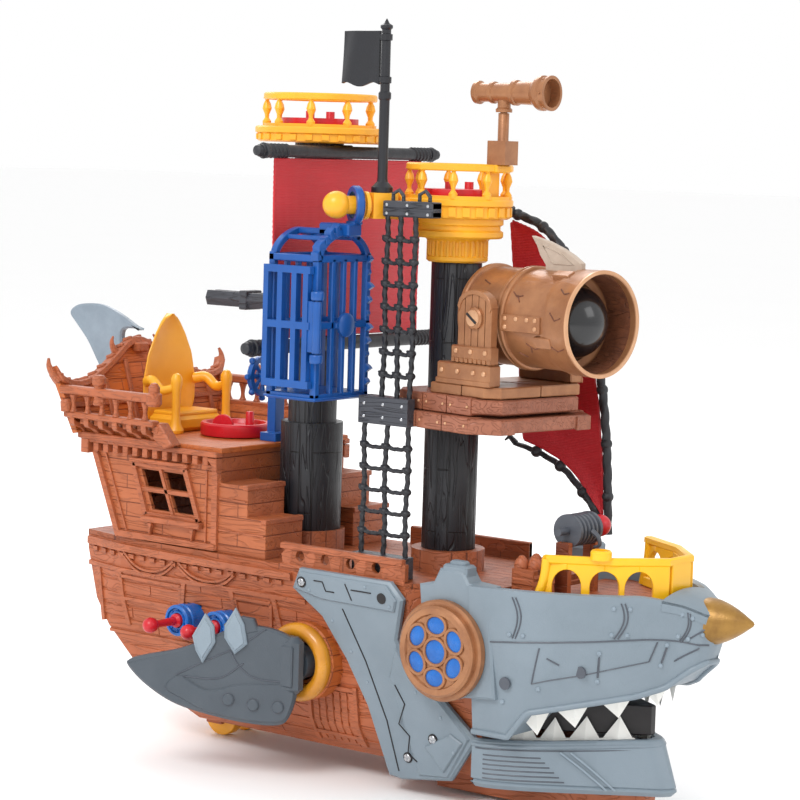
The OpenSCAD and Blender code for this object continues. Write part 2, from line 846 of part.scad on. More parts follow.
// Barred cage that hangs from the boom by its hook
module cage_frame() {
    color(BLUE) {
        box([cage_x[0], cage_y[0], cage_z[0]], [cage_x[1], cage_y[1], cage_z[0] + 4]);
        for (z = [252, 288]) difference() {
            box([cage_x[0], cage_y[0], z], [cage_x[1], cage_y[1], z + 4]);
            box([cage_x[0] + 4, cage_y[0] + 4, z - 1], [cage_x[1] - 4, cage_y[1] - 4, z + 5]);
        }
        for (x = [cage_x[0], cage_x[1] - 4], y = [cage_y[0], cage_y[1] - 4])
            box([x, y, cage_z[0]], [x + 4, y + 4, cage_z[1]]);
        for (x = [cage_x[0], cage_x[1] - 3], y = [-67.5, -58, -48.5])
            box([x, y, cage_z[0]], [x + 3, y + 3, cage_z[1]]);
        for (x = [-8, 4]) box([x, cage_y[1] - 3, cage_z[0]], [x + 3, cage_y[1], cage_z[1]]);
        both_gables() box([cage_x[0], 0, -3], [cage_x[1], 28, 0]);
        cage_hook();
        for (z = [234, 268]) difference() {
            box([cage_x[1] - 1.8, cage_y[0] - 5, z], [cage_x[1] + 5, cage_y[0] + 4, z + 5]);
            bar_z(cage_x[1] + 2, cage_y[0] - 2, 1, 200, 300);
        }
        bar_z(cage_x[1] + 2, cage_y[0] - 2, 1.2, 234, 273);
    }
}

// Children on both slopes of the cage's roof, measured from its ridge
module both_gables() {
    for (side = [0, 1]) translate([0, cage_mid_y, 306]) mirror([0, side, 0])
        rotate([-32, 0, 0]) children();
}

// Hook plate and ring round the boom
module cage_hook() {
    difference() {
        union() {
            along_boom() bar_x(0, 0, 10.5, hook_at - 2, hook_at + 2);
            translate([0, -60, 302]) cube([21, 12, 7]);
        }
        along_boom() bar_x(0, 0, 7.2, hook_at - 20, hook_at + 20);
    }
}

// Front of the cage, a barred door on the pin
module cage_door() {
    y0 = cage_y[0] - 4;
    color(BLUE) difference() {
        union() {
            for (z = [220, 252, 282]) box([cage_x[0], y0, z], [cage_x[1] - 2, y0 + 3.6, z + 4]);
            for (x = [-18, -8, 2, 10.2]) box([x, y0, 220], [x + 3.5, y0 + 3.6, 286]);
            box([cage_x[1] - 5, y0 + 0.6, 240], [cage_x[1] + 2, y0 + 3.4, 267.4]);
            bar_z(cage_x[1] + 2, cage_y[0] - 2, 2.4, 239.6, 267.4);
        }
        bar_z(cage_x[1] + 2, cage_y[0] - 2, 1.2 + fit, 200, 300);
    }
}

// ---- the parts ----------------------------------------------------------------------

starboard_hull();
port_hull();
keel_shoe();
main_deck();
cabin();
castle_deck();
stern_wall();
captain_chair();
rear_mast();
fore_mast();
top_nest();
fore_nest();
rear_yards();
rear_sail();
jib_spar();
jib_sail();
cannon_platform();
cannon_bracket();
telescope_post();
boom();
ladder_boards();
rope_nets();
twin_launcher();
neck_plates();
lower_jaw();
lower_teeth();
fin_rings();
side_cannons();
wheel_post();
hull_screws();
pivot_pins();
shark_head();
bow_deck();
bow_rail();
nose_cap();
upper_teeth();
eye_covers();
eye_lenses();
winch_drum();
power_pad();
ship_wheel();
tail_fin();
starboard_fin();
port_fin();
front_axle();
front_wheels();
rear_axle();
rear_wheels();
top_pad();
fore_pad();
telescope();
cannon_barrel();
cannon_spring();
cannon_ball();
firing_fin();
flagpole();
cage_frame();
cage_door();
aft_dart();
fore_dart();
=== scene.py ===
"""Toy pirate ship with a chomping shark bow: the look of every part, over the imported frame.

All sizes in the calls are millimetres; piece() turns them into metres. A shape is a pair
(points, faces). Shapes are grids of points worked out from two parameters, or profiles
carried along a path, and several shapes make one piece.
"""
import math

import bmesh
import bpy
import numpy as np
from mathutils import Matrix, Vector


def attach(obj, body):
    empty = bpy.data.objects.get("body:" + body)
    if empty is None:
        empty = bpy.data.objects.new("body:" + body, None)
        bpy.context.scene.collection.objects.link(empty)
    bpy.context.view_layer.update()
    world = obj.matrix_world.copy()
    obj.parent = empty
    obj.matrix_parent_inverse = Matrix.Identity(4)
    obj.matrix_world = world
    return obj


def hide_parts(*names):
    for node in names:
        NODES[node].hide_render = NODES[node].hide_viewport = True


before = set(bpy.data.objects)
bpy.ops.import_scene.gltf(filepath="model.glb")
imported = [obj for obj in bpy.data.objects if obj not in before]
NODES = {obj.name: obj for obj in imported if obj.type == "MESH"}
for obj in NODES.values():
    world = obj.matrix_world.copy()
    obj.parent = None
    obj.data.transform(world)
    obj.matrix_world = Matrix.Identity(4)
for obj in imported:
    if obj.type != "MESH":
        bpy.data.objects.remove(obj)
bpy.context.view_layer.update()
MM = 0.001


# ---- shapes -------------------------------------------------------------------------

def grid(p, wrap_u=False, wrap_v=False, caps=False):
    """Four-cornered faces between the neighbours of a grid of points p[u, v]. wrap_u and
    wrap_v join its ends, and caps closes the first and the last row with one face each."""
    i = np.arange(p.shape[0] * p.shape[1]).reshape(p.shape[:2])
    ends = [i[0, ::-1].tolist(), i[-1].tolist()] if caps else []
    if wrap_u:
        i = np.vstack([i, i[:1]])
    if wrap_v:
        i = np.hstack([i, i[:, :1]])
    quads = np.stack([i[:-1, :-1], i[1:, :-1], i[1:, 1:], i[:-1, 1:]], -1).reshape(-1, 4)
    return p.reshape(-1, 3), quads.tolist() + ends


def moved(shape, by):
    """The shape, shifted by a vector."""
    return shape[0] + np.array(by, float), shape[1]


def turned(shape, axis, degrees, about=(0, 0, 0)):
    """The shape turned about an axis through a point, by the rotation matrix."""
    r = np.array(Matrix.Rotation(math.radians(degrees), 3, axis))
    return (shape[0] - about) @ r.T + about, shape[1]


def across(shape):
    """The mirror image on the other side of the ship: y becomes -y."""
    return shape[0] * (1, -1, 1), shape[1]


def both(*shapes):
    """The shapes and their mirror images on the ship's other side."""
    return [*shapes, *(across(s) for s in shapes)]


def inset(p, d):
    """Every corner of an anticlockwise outline moved inwards by d along its mitre, which is
    the sum of the two edges' inward normals over one plus their dot product."""
    e = np.roll(p, -1, 0) - p
    e = e / np.maximum(np.linalg.norm(e, axis=1, keepdims=True), 1e-9)
    n = np.stack([-e[:, 1], e[:, 0]], 1)
    m = np.roll(n, 1, 0)
    return p + d * (n + m) / np.maximum(1 + (n * m).sum(1, keepdims=True), 0.35)


def slab(outline, a, b, plane="xy", bevel=0.4):
    """An outline carried from a to b along the plane's normal, drawn in by bevel at both ends."""
    p = np.array(outline, float)
    q = np.roll(p, -1, 0)
    if (p[:, 0] * q[:, 1] - p[:, 1] * q[:, 0]).sum() < 0:
        p = p[::-1]
    a, b = min(a, b), max(a, b)
    e = min(bevel, (b - a) * 0.45)
    rings = [(inset(p, e), a), (p, a + e), (p, b - e), (inset(p, e), b)] if e > 0 else [(p, a), (p, b)]
    u, v, w = {"xy": (0, 1, 2), "xz": (0, 2, 1), "yz": (1, 2, 0)}[plane]
    points = np.zeros((len(rings), len(p), 3))
    for k, (ring, height) in enumerate(rings):
        points[k, :, u], points[k, :, v], points[k, :, w] = ring[:, 0], ring[:, 1], height
    return grid(points, wrap_v=True, caps=True)


def block(low, high, bevel=0.4):
    """A box with all its edges broken: its plan has cut corners, and slab draws in both ends."""
    (x0, y0, z0), (x1, y1, z1) = low, high
    c = min(bevel, (x1 - x0) * 0.3, (y1 - y0) * 0.3)
    plan = [(x0 + c, y0), (x1 - c, y0), (x1, y0 + c), (x1, y1 - c), (x1 - c, y1), (x0 + c, y1),
            (x0, y1 - c), (x0, y0 + c)]
    return slab(plan, z0, z1, "xy", min(bevel, (z1 - z0) * 0.3))


def lathe(profile, centre=(0, 0, 0), axis="z", n=40, loop=False, arc=(0, 360)):
    """A surface of revolution: each (radius, height) of the profile at every angle about the
    axis. loop closes the profile on itself, as for a ring."""
    r, h = np.array(profile, float).T
    full = arc[1] - arc[0] >= 360
    t = np.radians(np.linspace(*arc, n, endpoint=not full))
    ring = np.stack([np.outer(r, np.cos(t)), np.outer(r, np.sin(t)), np.outer(h, np.ones(n))], -1)
    order = {"z": (0, 1, 2), "x": (2, 0, 1), "y": (1, 2, 0)}[axis]
    points = ring[..., list(order)] + np.array(centre, float)
    if full:
        return grid(points, wrap_u=loop, wrap_v=True, caps=not loop)
    return grid(points.transpose(1, 0, 2), wrap_v=True, caps=True)


def curve(points, n=24, closed=False):
    """A smooth path through the points: each span is the Catmull-Rom cubic of its four
    nearest points."""
    p = np.array(points, float)
    q = np.vstack([p[-1:], p, p[:2]]) if closed else np.vstack([2 * p[0] - p[1], p, 2 * p[-1] - p[-2]])
    s = np.linspace(0, len(q) - 3, n, endpoint=not closed)
    k = np.minimum(s.astype(int), len(q) - 4)
    t = (s - k)[:, None]
    a, b, c, d = q[k], q[k + 1], q[k + 2], q[k + 3]
    return 0.5 * (2 * b + (c - a) * t + (2 * a - 5 * b + 4 * c - d) * t**2 + (3 * b - a - 3 * c + d) * t**3)


def tube(path, r, n=10, closed=False, lobes=0, pitch=6.0, depth=0.25):
    """A round profile of radius r carried along a path. lobes twisted strands make it a rope:
    the radius is drawn in by depth between them, and they turn once in every pitch."""
    p = np.array(path, float)
    t = np.roll(p, -1, 0) - np.roll(p, 1, 0) if closed else np.gradient(p, axis=0)
    t = t / np.linalg.norm(t, axis=1, keepdims=True)
    flat = np.eye(3)[np.abs(t).mean(0).argmin()]
    a = np.cross(t, flat)
    a = a / np.linalg.norm(a, axis=1, keepdims=True)
    b = np.cross(t, a)
    s = np.concatenate([[0], np.cumsum(np.linalg.norm(np.diff(p, axis=0), axis=1))])
    angle = np.linspace(0, 2 * np.pi, n, endpoint=False)
    lay = np.cos(lobes * (angle[None] - 2 * np.pi * s[:, None] / (pitch * max(lobes, 1))))
    rr = np.broadcast_to(r, len(p))[:, None] * (1 - depth * (0.5 - 0.5 * lay) * (lobes > 0))
    points = p[:, None] + rr[..., None] * (np.cos(angle)[None, :, None] * a[:, None] + np.sin(angle)[None,
        :, None] * b[:, None])
    return grid(points, wrap_u=closed, wrap_v=True, caps=not closed)


def line(a, b, n=2):
    """n points evenly along the straight line from a to b."""
    return np.array(a, float) + np.linspace(0, 1, n)[:, None] * (np.array(b, float) - a)


def ball(centre, r, n=20, squash=1.0):
    """A sphere: radius r cos t and height r sin t, with t from pole to pole."""
    t = np.radians(np.linspace(-89, 89, 13))
    return lathe(np.stack([r * np.cos(t), squash * r * np.sin(t)], 1), centre, "z", n)


def rivets(points, r=1.0, high=0.6, axis="y", side=-1, n=12):
    """Low domes at the points, standing along an axis to the given side."""
    profile = [(r, -0.3), (r, high * 0.35), (r * 0.72, high * 0.8), (r * 0.05, high)]
    return [lathe([(a, side * b) for a, b in profile], p, axis, n) for p in points]


def arc(cx, cy, r, a0, a1, n=12):
    """n points on a circle, from angle a0 to a1 in degrees."""
    t = np.radians(np.linspace(a0, a1, n))
    return np.stack([cx + r * np.cos(t), cy + r * np.sin(t)], 1)


# ---- materials ----------------------------------------------------------------------

def rgb(code):
    """A colour code such as B5623C as linear red, green, blue and alpha."""
    c = np.array([int(code[i:i + 2], 16) for i in (0, 2, 4)]) / 255
    return (*np.where(c <= 0.04045, c / 12.92, ((c + 0.055) / 1.055) ** 2.4), 1.0)


def node(tree, kind, values=None, **settings):
    """A new node of a tree, with its inputs set to values or linked to sockets."""
    n = tree.nodes.new("ShaderNode" + kind)
    for key, value in settings.items():
        setattr(n, key, value)
    for key, value in (values or {}).items():
        if isinstance(value, bpy.types.NodeSocket):
            tree.links.new(value, n.inputs[key])
        else:
            n.inputs[key].default_value = value
    return n


def sum_of(tree, operation, a, b=0.0, clamp=False):
    """A Math node's output."""
    return node(tree, "Math", {0: a, 1: b}, operation=operation, use_clamp=clamp).outputs[0]


def mix(tree, factor, a, b, blend="MIX"):
    """A colour Mix node's output."""
    m = node(tree, "Mix", data_type="RGBA", blend_type=blend)
    for socket, value in ((m.inputs[0], factor), (m.inputs[6], a), (m.inputs[7], b)):
        if isinstance(value, bpy.types.NodeSocket):
            tree.links.new(value, socket)
        else:
            socket.default_value = value
    return m.outputs[2]


def new_group(name, inputs, outputs):
    """An empty shader group with named sockets, and its input and output nodes."""
    g = bpy.data.node_groups.new(name, "ShaderNodeTree")
    for label, kind, value in inputs:
        g.interface.new_socket(name=label, in_out="INPUT",
            socket_type="NodeSocket" + kind).default_value = value
    for label, kind in outputs:
        g.interface.new_socket(name=label, in_out="OUTPUT", socket_type="NodeSocket" + kind)
    return g, g.nodes.new("NodeGroupInput").outputs, g.nodes.new("NodeGroupOutput").inputs


def mottling_group():
    """Soft patches of a second colour, and the fine pitting of a moulded surface."""
    g, i, o = new_group("Mottling", [("Vector", "Vector", (0, 0, 0)), ("Colour", "Color", (1, 1, 1, 1)),
                        ("Second colour", "Color", (0, 0, 0, 1)), ("Amount", "Float", 0.3),
                        ("Size", "Float", 20.0), ("Pit size", "Float", 0.8)],
                        [("Colour", "Color"), ("Patches", "Float"), ("Pits", "Float")])
    scale = sum_of(g, "DIVIDE", 1.0, i["Size"])
    broad = node(g, "TexNoise", {"Vector": i["Vector"], "Scale": scale, "Detail": 4.0, "Roughness": 0.6})
    patches = node(g, "MapRange", {"Value": broad.outputs["Fac"], "From Min": 0.36,
        "From Max": 0.66}).outputs[0]
    fine = node(g, "TexNoise", {"Vector": i["Vector"], "Scale": sum_of(g, "DIVIDE", 1.0, i["Pit size"]),
        "Detail": 2.0})
    g.links.new(mix(g, sum_of(g, "MULTIPLY", patches, i["Amount"]), i["Colour"], i["Second colour"]),
        o["Colour"])
    g.links.new(patches, o["Patches"])
    g.links.new(fine.outputs["Fac"], o["Pits"])
    return g


def grain_group():
    """Engraved grain lines that run along the vector's X: the level line of a stretched noise."""
    g, i, o = new_group("Wood grain", [("Vector", "Vector", (0, 0, 0)), ("Spacing", "Float", 3.0),
        ("Stretch", "Float", 9.0)],
                        [("Lines", "Float"), ("Bands", "Float")])
    part = node(g, "SeparateXYZ", {0: i["Vector"]}).outputs
    along = node(g, "CombineXYZ", {0: sum_of(g, "DIVIDE", part[0], i["Stretch"]), 1: part[1],
        2: part[2]}).outputs[0]
    n = node(g, "TexNoise", {"Vector": along, "Scale": sum_of(g, "DIVIDE", 0.42, i["Spacing"]),
        "Detail": 1.0, "Distortion": 0.5}).outputs["Fac"]
    wave = sum_of(g, "SINE", sum_of(g, "MULTIPLY", n, 42.0))
    g.links.new(node(g, "MapRange", {"Value": wave, "From Min": 0.72, "From Max": 1.0}).outputs[0],
        o["Lines"])
    g.links.new(node(g, "MapRange", {"Value": n, "From Min": 0.35, "From Max": 0.65}).outputs[0],
        o["Bands"])
    return g


def boards_group():
    """Boards laid in rows along the vector's X: the joints between them, and a shade for each."""
    g, i, o = new_group("Boards", [("Vector", "Vector", (0, 0, 0)), ("Length", "Float", 60.0),
                        ("Width", "Float", 9.0), ("Gap", "Float", 0.35)],
                            [("Joints", "Float"), ("Shade", "Float")])
    b = node(g, "TexBrick", {"Vector": i["Vector"], "Color1": (0, 0, 0, 1), "Color2": (1, 1, 1, 1),
        "Mortar": (0.5, 0.5, 0.5, 1),
             "Scale": 1.0, "Mortar Size": i["Gap"], "Mortar Smooth": 0.6, "Brick Width": i["Length"],
                 "Row Height": i["Width"]})
    g.links.new(b.outputs["Fac"], o["Joints"])
    g.links.new(b.outputs["Color"], o["Shade"])
    return g


MOTTLING, GRAIN, BOARDS = mottling_group(), grain_group(), boards_group()
MATERIALS, SLOT_OF = {}, {}


def finish(name, slot, colour, second, rough=0.42, metal=0.0, amount=0.3, size=22.0, pits=0.12,
           grain=None, lines=None, boards=None, axes="xyz", spec=0.5, coat=0.0, sheen=0.0):
    """One finish: mottled colour and pitted bump everywhere, with grain lines (spacing,
    stretch, depth) and boards (length, width, gap) where they are given. axes names the
    coordinates that stand for the pattern's length, width and depth."""
    m = bpy.data.materials.new(name)
    m.use_nodes = True
    t = m.node_tree
    shader = t.nodes["Principled BSDF"]
    at = node(t, "VectorMath", {0: node(t, "TexCoord").outputs["Object"], "Scale": 1000.0},
        operation="SCALE").outputs[0]
    part = node(t, "SeparateXYZ", {0: at}).outputs
    laid = node(t, "CombineXYZ", {k: part["xyz".index(a)] for k, a in enumerate(axes)}).outputs[0]
    mot = node(t, "Group", node_tree=MOTTLING)
    t.links.new(at, mot.inputs["Vector"])
    mot.inputs["Colour"].default_value, mot.inputs["Second colour"].default_value = rgb(colour), rgb(second)
    mot.inputs["Amount"].default_value, mot.inputs["Size"].default_value = amount, size
    shade, height = mot.outputs["Colour"], sum_of(t, "MULTIPLY", mot.outputs["Pits"], pits)
    if boards:
        b = node(t, "Group", {"Vector": laid}, node_tree=BOARDS)
        for key, value in zip(("Length", "Width", "Gap"), boards):
            b.inputs[key].default_value = value
        shade = mix(t, sum_of(t, "MULTIPLY", b.outputs["Shade"], 0.28), shade, rgb(second))
        shade = mix(t, sum_of(t, "MULTIPLY", b.outputs["Joints"], 0.65), shade, rgb(second), "MULTIPLY")
        height = sum_of(t, "SUBTRACT", height, sum_of(t, "MULTIPLY", b.outputs["Joints"], 1.3))
    if grain:
        gr = node(t, "Group", {"Vector": laid}, node_tree=GRAIN)
        gr.inputs["Spacing"].default_value, gr.inputs["Stretch"].default_value = grain[:2]
        shade = mix(t, sum_of(t, "MULTIPLY", gr.outputs["Lines"], lines or 0.35), shade, rgb(second))
        height = sum_of(t, "SUBTRACT", height, sum_of(t, "MULTIPLY", gr.outputs["Lines"], grain[2]))
    t.links.new(shade, shader.inputs["Base Color"])
    bump = node(t, "Bump", {"Height": height, "Distance": 0.0005, "Strength": 0.8})
    t.links.new(bump.outputs[0], shader.inputs["Normal"])
    t.links.new(node(t, "MapRange", {"Value": mot.outputs["Patches"], "To Min": rough - 0.05,
        "To Max": rough + 0.07}).outputs[0],
                shader.inputs["Roughness"])
    shader.inputs["Metallic"].default_value = metal
    shader.inputs["Specular IOR Level"].default_value = spec
    shader.inputs["Coat Weight"].default_value = coat
    shader.inputs["Sheen Weight"].default_value = sheen
    MATERIALS[name], SLOT_OF[name] = m, slot
    return m


finish("Hull wood", "brown_plastic", "B0603A", "7E3E20", 0.5, grain=(2.6, 9, 0.8), axes="xzy", size=30)
finish("Wall wood", "brown_plastic", "B9673C", "7E3E20", 0.5, grain=(2.4, 9, 0.8), boards=(58, 8.2, 0.35),
    axes="xzy")
finish("Deck wood", "deck_plastic", "A85830", "703818", 0.5, grain=(2.2, 10, 0.7), boards=(46, 7.5, 0.35),
    axes="xyz")
finish("Orange wood", "orange_plastic", "C86A2E", "86421A", 0.48, grain=(2.4, 8, 0.7),
    boards=(40, 9, 0.35), axes="yzx")
finish("Trim wood", "brown_plastic", "B0603A", "743A1E", 0.46, grain=(1.8, 8, 0.6), axes="xzy", size=14)
finish("Shark armour", "gray_plastic", "7C8993", "6A7780", 0.4, pits=0.2, size=34, amount=0.35)
finish("Fin armour", "gray_plastic", "4A525A", "3C444C", 0.42, pits=0.2, size=26, amount=0.4)
finish("Light armour", "gray_plastic", "8795A0", "73818C", 0.4, pits=0.2)
finish("Tail armour", "gray_plastic", "8794A0", "6C7883", 0.4, pits=0.2, size=16, amount=0.5)
finish("Yellow plastic", "yellow_plastic", "F4B02A", "DD8E14", 0.35, size=26, amount=0.35, pits=0.08)
finish("Lemon plastic", "yellow_plastic", "F7BC1E", "E09A10", 0.33, size=26, amount=0.3, pits=0.08)
finish("Amber plastic", "yellow_plastic", "D08C1C", "9C5A12", 0.3, size=14, amount=0.4, pits=0.08, coat=0.3)
finish("Red plastic", "red_plastic", "CC1C2A", "9C0F1C", 0.32, size=16, amount=0.35, pits=0.06)
finish("Blue plastic", "blue_plastic", "10529E", "083A78", 0.33, size=16, amount=0.35, pits=0.08)
finish("Bright blue", "blue_plastic", "1668BC", "0A4288", 0.28, size=8, amount=0.5, pits=0.1)
finish("Mast wood", "black_plastic", "24252A", "0C0C10", 0.4, grain=(2.6, 10, 1.3), lines=0.6,
    boards=(70, 6.5, 0.5), axes="zxy", pits=0.2)
finish("Black plastic", "black_plastic", "1E1F24", "0D0D11", 0.36, pits=0.15, size=8)
finish("Rope black", "black_plastic", "26272C", "101014", 0.5, pits=0.35, size=4)
finish("Dark wood", "dark_plastic", "3F4148", "1E1F24", 0.45, grain=(2.0, 9, 1.0), lines=0.6, axes="xzy",
    pits=0.2)
finish("Dark gray", "dark_plastic", "50555E", "363A42", 0.4, pits=0.2, size=9)
finish("Copper paint", "copper_plastic", "A8744E", "78482E", 0.36, metal=0.35, size=12, amount=0.45,
    pits=0.18, coat=0.1)
finish("Copper light", "copper_plastic", "CFA07A", "A87450", 0.34, metal=0.35, size=12, amount=0.4,
    pits=0.15)
finish("Platform wood", "copper_plastic", "A0634A", "6C3A26", 0.42, metal=0.1, grain=(2.0, 8, 0.7),
    axes="xyz", size=14, amount=0.4)
finish("Nose gold", "gold_plastic", "A07838", "6C4A20", 0.36, metal=0.4, size=9, amount=0.5, pits=0.3)
finish("Tooth white", "white_plastic", "F2F1EC", "D2CFC6", 0.3, size=12, amount=0.25, pits=0.06)
finish("Trigger tan", "copper_plastic", "B9A898", "93806F", 0.4, size=9, amount=0.4)
finish("Mouth black", "black_plastic", "1A1517", "0A0808", 0.5, size=12)
finish("Ball black", "black_plastic", "17181B", "0B0B0D", 0.18, size=12, pits=0.03, coat=0.4)
finish("Steel", "steel", "C6C8CB", "9A9CA0", 0.3, metal=0.95, size=4, amount=0.3, pits=0.15)
finish("Chest brown", "brown_plastic", "7C4A32", "4C2A1C", 0.5, size=6, amount=0.6, pits=0.8,
    grain=(2, 6, 0.9))


def sail_cloth():
    """Thin red sailcloth: a fine plain weave on the piece's own UV map, in millimetres, with paler patches
    of painted light where light would shine through the cloth, and a soft sheen."""
    # The paler second colour D8323C makes soft patches of painted light, where light shines through the
    # thin sail.
    m = finish("Sail cloth", "sail_sheet", "BE1220", "D8323C", 0.5, amount=0.4, size=40, sheen=0.08,
        pits=0.1)
    t = m.node_tree
    uv = node(t, "UVMap").outputs[0]
    part = node(t, "SeparateXYZ", {0: uv}).outputs
    warp = sum_of(t, "SINE", sum_of(t, "MULTIPLY", part[0], 2 * math.pi / 0.9))
    weft = sum_of(t, "SINE", sum_of(t, "MULTIPLY", part[1], 2 * math.pi / 0.9))
    weave = sum_of(t, "MULTIPLY", sum_of(t, "ADD", warp, weft), 0.12)
    bump = next(n for n in t.nodes if n.type == "BUMP")
    t.links.new(sum_of(t, "ADD", bump.inputs["Height"].links[0].from_socket, weave), bump.inputs["Height"])
    return m


sail_cloth()


# ---- pieces -------------------------------------------------------------------------

def piece(name, body, finish_name, shapes, replaces=(), smooth=34, bevel=0.0, uv=None):
    """One object from several shapes, in metres, with its faces turned outwards. It rides on
    a body of the frame and may stand for nodes of it."""
    points, faces, n = [], [], 0
    for p, f in shapes:
        points.append(p)
        faces += [[n + k for k in face] for face in f]
        n += len(p)
    mesh = bpy.data.meshes.new(name)
    mesh.from_pydata((np.concatenate(points) * MM).tolist(), [], faces)
    b = bmesh.new()
    b.from_mesh(mesh)
    bmesh.ops.recalc_face_normals(b, faces=b.faces)
    b.to_mesh(mesh)
    b.free()
    mesh.materials.append(MATERIALS[finish_name])
    mesh.shade_smooth()
    mesh.set_sharp_from_angle(angle=math.radians(smooth))
    if uv is not None:
        corner = np.zeros(len(mesh.loops), int)
        mesh.loops.foreach_get("vertex_index", corner)
        mesh.uv_layers.new(name="UVMap").data.foreach_set("uv", uv[corner].ravel())
    o = bpy.data.objects.new(name, mesh)
    bpy.context.scene.collection.objects.link(o)
    if bevel:
        mod = o.modifiers.new("Bevel", "BEVEL")
        mod.width, mod.segments, mod.limit_method = bevel * MM, 2, "ANGLE"
    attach(o, body)
    if replaces:
        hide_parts(*replaces)
    return o


def paint(finish_name, *nodes):
    """Gives CAD nodes a finish, and breaks their edges a little."""
    for n in nodes:
        o = NODES[n]
        for s in o.material_slots:
            s.material = MATERIALS[finish_name]
        weld = o.modifiers.new("Weld", "WELD")
        weld.merge_threshold = 1e-6
        mod = o.modifiers.new("Bevel", "BEVEL")
        mod.width, mod.segments, mod.limit_method, mod.angle_limit = 0.0004, 2, "ANGLE", math.radians(35)


paint("Hull wood", "starboard_hull", "port_hull", "keel_shoe")
paint("Wall wood", "cabin")
paint("Deck wood", "main_deck", "bow_deck")
paint("Orange wood", "castle_deck", "stern_wall")
paint("Yellow plastic", "captain_chair", "top_nest", "fore_nest", "boom", "front_wheels", "rear_wheels")
paint("Lemon plastic", "bow_rail")
paint("Amber plastic", "fin_rings")
paint("Mast wood", "rear_mast", "fore_mast")
paint("Black plastic", "rear_yards", "jib_spar", "flagpole", "rope_nets")
paint("Sail cloth", "rear_sail", "jib_sail")
paint("Platform wood", "cannon_platform")
paint("Copper paint", "cannon_bracket", "telescope_post", "telescope", "cannon_barrel", "eye_covers")
paint("Dark wood", "ladder_boards")
paint("Dark gray", "twin_launcher", "winch_drum")
paint("Shark armour", "neck_plates", "lower_jaw", "shark_head")
paint("Tail armour", "tail_fin")
paint("Fin armour", "starboard_fin", "port_fin")
paint("Tooth white", "upper_teeth", "lower_teeth")
paint("Blue plastic", "side_cannons", "cage_frame", "cage_door", "wheel_post", "ship_wheel")
paint("Bright blue", "eye_lenses")
paint("Red plastic", "top_pad", "fore_pad", "power_pad", "aft_dart", "fore_dart")
paint("Steel", "hull_screws", "pivot_pins", "front_axle", "rear_axle", "cannon_spring")
paint("Ball black", "cannon_ball")
paint("Trigger tan", "firing_fin")
paint("Nose gold", "nose_cap")


# ---- hull ---------------------------------------------------------------------------

def hull_y(x, z):
    """Half breadth of the hull: the lesser of its plan's and its section's straight lines."""
    plan = np.interp(x, [-185, -150, -100, -60, 66, 72, 112], [46, 54, 58, 59.5, 59.5, 53, 52])
    return np.minimum(plan, np.interp(z, [14, 30, 135], [34, 46, 62.5]))


def cabin_y(x, z):
    """The cabin's side walls are flat."""
    return np.full(np.shape(x), 55.0)


def relief(points, half, high, wall=hull_y):
    """A raised band on the starboard wall y = -wall(x, z): a low trapezium, half wide on each
    side and high outwards, carried along a path of (x, z) points."""
    p = np.array(points, float)
    t = np.gradient(p, axis=0)
    t = t / np.linalg.norm(t, axis=1, keepdims=True)
    side = np.stack([-t[:, 1], t[:, 0]], 1)
    wide, out = np.array([-1, -0.8, 0.8, 1]) * half, np.array([-0.9, high, high, -0.9])
    xz = p[:, None] + wide[None, :, None] * side[:, None]
    y = wall(xz[..., 0], xz[..., 1]) + out
    return grid(np.stack([xz[..., 0], -y, xz[..., 1]], -1), wrap_v=True, caps=True)


def straight(a, b, half, high, wall=hull_y, n=6):
    """A raised band on the straight line between two (x, z) points of a wall."""
    return relief(line(a, b, n), half, high, wall)


def hull_boards():
    """Rows of raised boards from keel to wale, with staggered joints."""
    shapes = []
    for k, z in enumerate(np.arange(20.5, 97, 7.6)):
        ends = np.interp(z, [14, 45, 78, 107], [-101, -142, -173, -183]) + 2, 62.0
        cuts = [ends[0], *np.arange(ends[0] + 18 + (37 * k) % 50, ends[1] - 12, 56), ends[1]]
        shapes += [straight((a + 0.35, z), (b - 0.35, z), 3.45, 0.55, n=8) for a, b in zip(cuts, cuts[1:])]
    return shapes


def hull_trim():
    """Wales, dentils, slanted posts, a rope swag, two framed panels and a plank door."""
    s = [straight((-183, 112), (-13, 112), 2.6, 2.4, n=30), straight((-182, 98.5), (-4, 98.5), 1.6, 1.6,
        n=30),
         straight((-160, 61), (-30, 61), 1.1, 1.1, n=20)]
    s += [straight((x, 107.6), (x + 4.5, 107.6), 1.5, 1.5) for x in np.arange(-178, -18, 9.0)]
    for x, lean in ((-172, 4), (-150, 4), (-96, -4), (-60, 4), (-28, 4)):
        s.append(straight((x, 99), (x + lean * 1.6, 66), 1.9, 1.5))
    swag = np.array([(-146, 109.5), (-136, 103), (-124, 101), (-112, 103.5), (-103, 109.5)])
    s += [relief(curve(swag + (0, d), 26), 0.8, 1.9) for d in (0, -2.6)]
    s += [relief(curve(swag * (1, 1) + (47, d), 26), 0.8, 1.9) for d in (0, -2.6)]
    for x0, x1, z0, z1 in ((-146, -101, 82, 95), (-54, -32, 70, 94)):
        frame_ = [((x0, z0), (x1, z0)), ((x1, z0), (x1 + 2, z1)), ((x1 + 2, z1), (x0 - 3, z1)),
            ((x0 - 3, z1), (x0, z0))]
        s += [straight(a, b, 1.2, 1.5) for a, b in frame_]
    s += [straight((x, 20), (x, 50), 2.3, 1.3) for x in np.arange(-2, 26, 5.2)]
    s += [straight((-6, 52), (27, 52), 1.5, 2.0), straight((-6, 24), (27, 24), 1.5, 2.0),
          straight((-6, 19), (-6, 54), 1.5, 2.2), straight((27.5, 19), (27.5, 54), 1.5, 2.2)]
    return s


